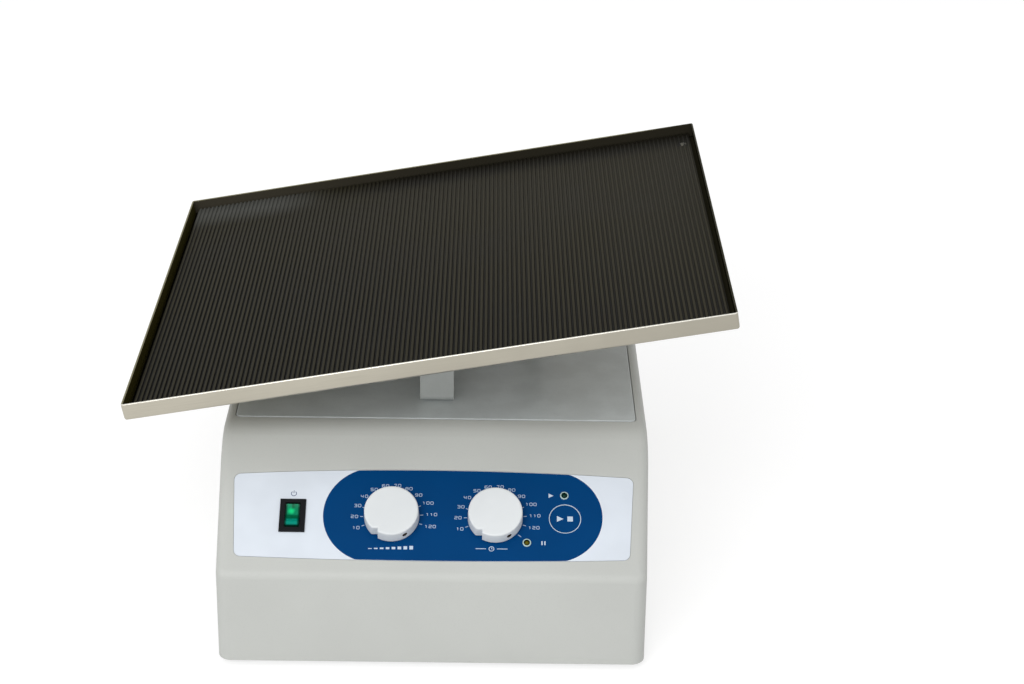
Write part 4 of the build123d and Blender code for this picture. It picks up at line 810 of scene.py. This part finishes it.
def around(knob, degrees, radius):
    """Point of the panel round a knob, degrees clockwise from its top."""
    turn = radians(degrees)
    return KNOBS[knob][0] + radius * sin(turn), KNOBS[knob][1] + radius * cos(turn)


def box(centre, width, height):
    """Corners of an upright rectangle."""
    corners = np.array([(-1, -1), (1, -1), (1, 1), (-1, 1)])
    return np.array(centre) + corners * (width / 2, height / 2)


def triangle(centre, size):
    """Corners of a triangle that points to the right."""
    return np.array(centre) + np.array([(-0.45, -0.5), (0.55, 0), (-0.45, 0.5)]) * size


shaft_holes = [circle(spot, SHAFT_HOLE) for spot in KNOBS.values()]
lamp_holes = [circle(spot, LAMP_HOLE, 40) for spot in LAMPS.values()]
blue_field = [field_outline(), circle(KEY, KEY_RADIUS + KEY_GAP), *shaft_holes, *lamp_holes]
flat_print("blue_field", blue_field, PRINT_LOW, PRINT_HIGH, "base", film_blue)
for knob in KNOBS:
    figures, ticks = [], []
    for index in range(12):
        bearing = DIAL_FIRST + DIAL_STEP * index
        number = str(10 * (index + 1))
        reach = DIAL_RADIUS + 1.5 * (len(number) - 2) - 0.9 * max(0.0, cos(radians(bearing)))
        figures += number_outlines(number, around(knob, bearing, reach))
        ends = [around(knob, bearing, radius) for radius in (TICK_INNER, TICK_OUTER)]
        ticks += ribbon(ends, LINE)
    if knob == "time":
        ticks += ribbon([around(knob, END_TICK[0], radius) for radius in END_TICK[1:]], LINE)
    flat_print(f"{knob}_numbers", figures, PRINT_HIGH, INK_HIGH, "base", film_figures)
    flat_print(f"{knob}_ticks", ticks, PRINT_HIGH, INK_HIGH, "base", film_figures)

# Signs in place of words: growing bars, a clock, a play sign, a pause sign and a power sign
bar_foot, bar_width, bar_step, bars = -22.2, 2.1, 3.4, 8
speed_bars = []
for index in range(bars):
    rise = 0.5 + 0.25 * index
    bar_x = KNOBS["speed"][0] + bar_step * (index - (bars - 1) / 2)
    speed_bars.append(box((bar_x, bar_foot + rise / 2), bar_width, rise))
clock_middle = np.array([34.2, -21.2])
clock_hands = ribbon([clock_middle + (0, 0.9), clock_middle, clock_middle + (0.75, -0.15)], 0.3)
clock_dashes = [box(clock_middle + (side * 6.2, 0), 6.0, LINE) for side in (-1, 1)]
clock = [circle(clock_middle, 1.6), circle(clock_middle, 1.22), *clock_hands, *clock_dashes]
run_sign = [triangle((68.6, LAMPS["run"][1]), 2.8)]
hold_sign = [box((64.2 + side * 0.85, LAMPS["hold"][1]), 0.75, 2.5) for side in (-1, 1)]
signs = speed_bars + clock + run_sign + hold_sign
ring_middle = KEY_RADIUS + KEY_GAP + 0.22
key_ring = [circle(KEY, ring_middle + side * LINE / 2) for side in (1, -1)]
key_signs = [triangle((KEY[0] - 3.0, KEY[1]), 3.8), box((KEY[0] + 3.0, KEY[1]), 3.2, 3.2)]
power_middle = np.array([SWITCH[0], 13.0])
power_ring = ribbon(arc(power_middle, 1.5, 125, 415, 24), LINE)
power_stroke = ribbon([power_middle + (0, 2.0), power_middle + (0, 0.3)], LINE)
flat_print("key_ring", key_ring, PRINT_HIGH, INK_HIGH, "base", film_pale)
flat_print("panel_signs", signs, PRINT_HIGH, INK_HIGH, "base", film_pale)
flat_print("key_signs", key_signs, PRINT_LOW, PRINT_HIGH, "start_stop", film_pale)
flat_print("power_sign", power_ring + power_stroke, PRINT_LOW, PRINT_HIGH, "base", film_dark)

# Finishes of the pieces that stay as the CAD has them

node_finishes = {
    "case_shell": moulded("case_plastic", shade(196, 198, 194), 0.5, 0.9, 0.02, 0.02, gloss=0.2),
    "floor_plate": plated("floor_zinc", shade(178, 180, 180)),
    "deck_plate": painted("deck_coating", shade(196, 202, 203), 0.34, 0.2, 0.75),
    "panel_label": printed("label_white_film", shade(222, 229, 238)),
    "board_screws": screw_metal,
    "tray_nuts": screw_metal,
    "pot_nuts": screw_metal,
    "pivot_bushes": turned("bush_bronze", shade(176, 130, 78)),
    "rod_bush": turned("rod_bush_bronze", shade(176, 130, 78)),
    "gearbox": turned("gearbox_casting", shade(168, 168, 164), 0.5),
    "motor": turned("motor_can", shade(150, 152, 156), 0.35),
    "transformer_core": banded("core_laminations", shade(92, 90, 88), "y", 0.5, metallic=0.6),
    "transformer_winding": banded("winding_tape", shade(160, 120, 40), "z", 1.2, 0.4),
    "power_board": etched_board("power_board_lacquer", shade(28, 92, 56)),
    "control_board": etched_board("control_board_lacquer", shade(24, 84, 60)),
    "smoothing_capacitors": banded("capacitor_sleeve", shade(34, 44, 70), "z", 11, 0.35, contrast=0.1),
    "key_switch": moulded("key_switch_plastic", shade(40, 40, 42)),
    "power_switch": moulded(
        "switch_bezel_plastic", shade(25, 26, 28), 0.4, softened=0.15, gloss=0.06,
    ),
    "inlet_socket": moulded("inlet_plastic", shade(26, 26, 28), 0.4, softened=0.2, gloss=0.15),
    "inlet_pins": turned("inlet_pin_metal", shade(196, 186, 150)),
    "mains_leads": moulded("mains_lead_sleeve", shade(60, 60, 64), 0.5),
    "motor_lead": moulded("motor_lead_sleeve", shade(150, 40, 36), 0.5),
    "panel_ribbon": banded("ribbon_cable", shade(150, 152, 158), "x", 1.27, contrast=0.12),
}
for name in ("chassis_left", "chassis_right", "motor_bracket"):
    node_finishes[name] = plated(f"{name}_zinc", shade(182, 184, 184))
for name in ("speed_pot", "time_pot"):
    node_finishes[name] = turned(f"{name}_can", shade(170, 168, 160))
for name in ("pivot_post_front", "pivot_post_rear"):
    node_finishes[name] = painted(f"{name}_coating", shade(180, 184, 182), 0.38, 0.1)
for name in ("tray_carrier", "rod_clevis", "connecting_rod"):
    node_finishes[name] = brushed(f"{name}_steel", shade(182, 182, 178), "y", 0.36)
for name in ("wrist_pin", "pivot_pins", "pivot_clips", "rod_bearing", "crank_disc", "crank_pin",
             "output_shaft", "speed_shaft", "time_shaft"):
    node_finishes[name] = turned(f"{name}_steel", shade(186, 186, 184))
for name in ("crank_set_screw", "speed_set_screw", "time_set_screw"):
    node_finishes[name] = turned(f"{name}_black_oxide", shade(52, 46, 40), 0.45)


def panel_spot(x, y, rise):
    """Point of the bench, in millimetres, at x, y of the panel and rise above it."""
    return tuple(PANEL @ Vector((x, y, rise)) / MM)


def lamp_ring_metal():
    """Plated rings, finely scratched, with the shadow of the lens along their inner edges."""
    f = Finish("lamp_ring_metal", PANEL, metallic=0.2, specular_ior_level=0.2)
    run, hold = ((f.x - x) * (f.x - x) + (f.y - y) * (f.y - y) for x, y in LAMPS.values())
    inner = f.ramp(run.smaller(hold), 1.95**2, 1.75**2)
    scratches = f.noise(0.25, 4)
    tone = f.mix(f.ramp(scratches, 0.3, 0.7), shade(164, 190, 190), shade(182, 204, 200))
    f.feed("Base Color", f.mix(inner, tone, shade(22, 44, 38)))
    f.feed("Roughness", 0.35 + 0.1 * (scratches - 0.5))
    f.bump(scratches, 0.008, 0.1)
    return f.material


def knob_plastic(knob):
    """Satin white plastic, with painted shade darkening the hole of the set screw."""
    f = Finish(f"{knob}_knob_plastic", PANEL, specular_ior_level=0.25)
    turn, hole_height, hole_radius, hole_floor = radians(90 - 149), 5.0, 1.56, 6.5
    u, v = f.x - KNOBS[knob][0], f.y - KNOBS[knob][1]
    along = u * cos(turn) + v * sin(turn)
    across = u * sin(turn) - v * cos(turn)
    height = f.z - hole_height
    # Painted shade inside the hole of the set screw.
    set_screw_hole_shade = (across * across + height * height < hole_radius**2) * (along > hole_floor)
    drift, skin = f.noise(40, 3), f.noise(0.5, 3)
    white = f.mix(f.ramp(drift, 0.3, 0.7), shade(220, 224, 226), shade(226, 230, 232))
    worn = f.mix(f.edges(0.3) * 0.35, white, shade(236, 238, 239))
    f.feed("Base Color", f.mix(set_screw_hole_shade, worn, shade(58, 46, 36)))
    f.feed("Roughness", 0.45 + 0.1 * (drift - 0.5) + 0.06 * (skin - 0.5))
    f.bump(skin, 0.008, 0.25)
    return f.material


def lit_rocker():
    """Clear green rocker over a glow lamp: dark rib above the glow, a band of painted shadow, paler
    lower end, and painted shade along the sides and over the foot.
    """
    f = Finish("rocker_lit_green", PANEL, specular_ior_level=0.08, emission_strength=1.0)
    across = f.x - SWITCH[0]
    up = f.y - SWITCH[1]
    cloud = f.noise(3, 2)
    rib = f.ramp(abs(across - 0.2), 1.1, 0.4) * f.ramp(up, 3.4, 4.4)
    shadow = f.ramp(abs(up + 1.4), 2.2, 0.6)
    low = f.ramp(up, -2.7, -3.2)
    body = f.mix(f.ramp(cloud, 0.3, 0.7), shade(0, 112, 74), shade(4, 136, 96))
    ribbed = f.mix(rib * 0.6 + shadow * 0.6, body, shade(0, 62, 38))
    toned = f.mix(low, ribbed, shade(0, 140, 120))
    # Painted shade along the rocker's sides, and on its foot below the lower end.
    rounded = f.mix(f.ramp(abs(across), 2.7, 3.7) * 0.9, toned, shade(0, 44, 32))
    f.feed("Base Color", f.mix(f.ramp(up, -6.3, -7.0), rounded, shade(2, 26, 20)))
    glow = f.ramp(f.away_from((SWITCH[0] - 0.7, SWITCH[1] + 2.6, 2.0)), 3.0, 0.6)
    f.feed("Emission Color", f.mix(glow, shade(0, 20, 11), shade(12, 190, 100)))
    f.feed("Roughness", 0.22 + 0.1 * cloud)
    f.bump(cloud, 0.02, 0.2)
    return f.material


for lamp_name, lens_name, colour in (
    ("run", "run_lens_green", shade(2, 44, 36)), ("hold", "hold_lens_amber", shade(82, 76, 6)),
):
    chip = panel_spot(*LAMPS[lamp_name], 1)
    node_finishes[f"{lamp_name}_led"] = lens(lens_name, colour, chip)
node_finishes["start_stop_key"] = printed("key_blue_film", shade(0, 62, 116))
node_finishes["power_rocker"] = lit_rocker()
node_finishes["led_rings"] = lamp_ring_metal()
for knob in KNOBS:
    node_finishes[f"{knob}_knob"] = knob_plastic(knob)
for name, material in node_finishes.items():
    nodes[name].data.materials.clear()
    nodes[name].data.materials.append(material)

# Bench, light and camera

WHITE = (1, 1, 1, 1)
BENCH_REACH = 6.0
BENCH_GLOW, BENCH_SHADOW = 0.7, 0.42    # a white ground that still takes a faint shadow
SKY_SEEN, SKY_LIGHT = 1.0, 0.62         # the backdrop's strength, and its share in the light

bench = bpy.data.meshes.new("bench")
bench_corners = [(x * BENCH_REACH, y * BENCH_REACH, 0) for x, y in ((-1, -1), (1, -1), (1, 1), (-1, 1))]
bench.from_pydata(bench_corners, [], [(0, 1, 2, 3)])
floor = bpy.data.objects.new("bench", bench)
scene.collection.objects.link(floor)
pale = Finish("bench_white", roughness=0.9, specular_ior_level=0.05)
pale.feed("Base Color", pale.mix(pale.noise(900, 1), (0.8, 0.8, 0.8), (0.82, 0.82, 0.82)))
glowing = {"Color": WHITE, "Strength": BENCH_GLOW}
clean = pale.node("ShaderNodeEmission", {}, glowing, "Emission")
dulled = {"Color": (BENCH_SHADOW, BENCH_SHADOW, BENCH_SHADOW, 1)}
shadowed = pale.node("ShaderNodeBsdfDiffuse", {}, dulled, "BSDF")
backdrop = pale.node("ShaderNodeAddShader", {}, {0: clean, 1: shadowed})
lit_only = Wire(pale, pale.shader.outputs[0])
choice = {0: pale.looked_at(), 1: lit_only, 2: backdrop}
pale.connect(pale.node("ShaderNodeMixShader", {}, choice), pale.output.inputs["Surface"])
bench.materials.append(pale.material)

world = bpy.data.worlds.new("studio")
world.use_nodes = True
scene.world = world
sky = Graph(world.node_tree)
background = world.node_tree.nodes["Background"]
background.inputs["Color"].default_value = WHITE
strength = SKY_LIGHT + (SKY_SEEN - SKY_LIGHT) * sky.looked_at()
sky.connect(strength, background.inputs["Strength"])


def lamp(name, spot, aim, size, power):
    """Hangs a square soft lamp at a spot, facing a point, both in metres."""
    data = bpy.data.lights.new(name, "AREA")
    data.shape, data.size, data.energy = "SQUARE", size, power
    made = bpy.data.objects.new(name, data)
    scene.collection.objects.link(made)
    made.location = spot
    made.rotation_euler = (Vector(aim) - Vector(spot)).to_track_quat("-Z", "Y").to_euler()


HOUSING_MIDDLE = (0, 0, 0.1)
lamp("overhead", (-0.3, -0.4, 2.2), HOUSING_MIDDLE, size=1.6, power=4)
lamp("front", (-0.6, -1.75, 1.4), HOUSING_MIDDLE, size=1.2, power=21)

CAMERA_SPOT = (0.03015, -1.17942, 0.70220)
CAMERA_TURN, CAMERA_DIP, CAMERA_ROLL = radians(-0.780), radians(26.475), radians(1.113)
CAMERA_LENS, CAMERA_SENSOR = 71.49, 36.0
camera_data = bpy.data.cameras.new("camera")
camera_data.lens, camera_data.sensor_width = CAMERA_LENS, CAMERA_SENSOR
camera = bpy.data.objects.new("camera", camera_data)
scene.collection.objects.link(camera)
camera.matrix_world = (
    Matrix.Translation(CAMERA_SPOT)
    @ Matrix.Rotation(CAMERA_TURN, 4, "Z")
    @ Matrix.Rotation(radians(90) - CAMERA_DIP, 4, "X")
    @ Matrix.Rotation(CAMERA_ROLL, 4, "Z")
)
scene.camera = camera
scene.view_settings.view_transform = "Standard"
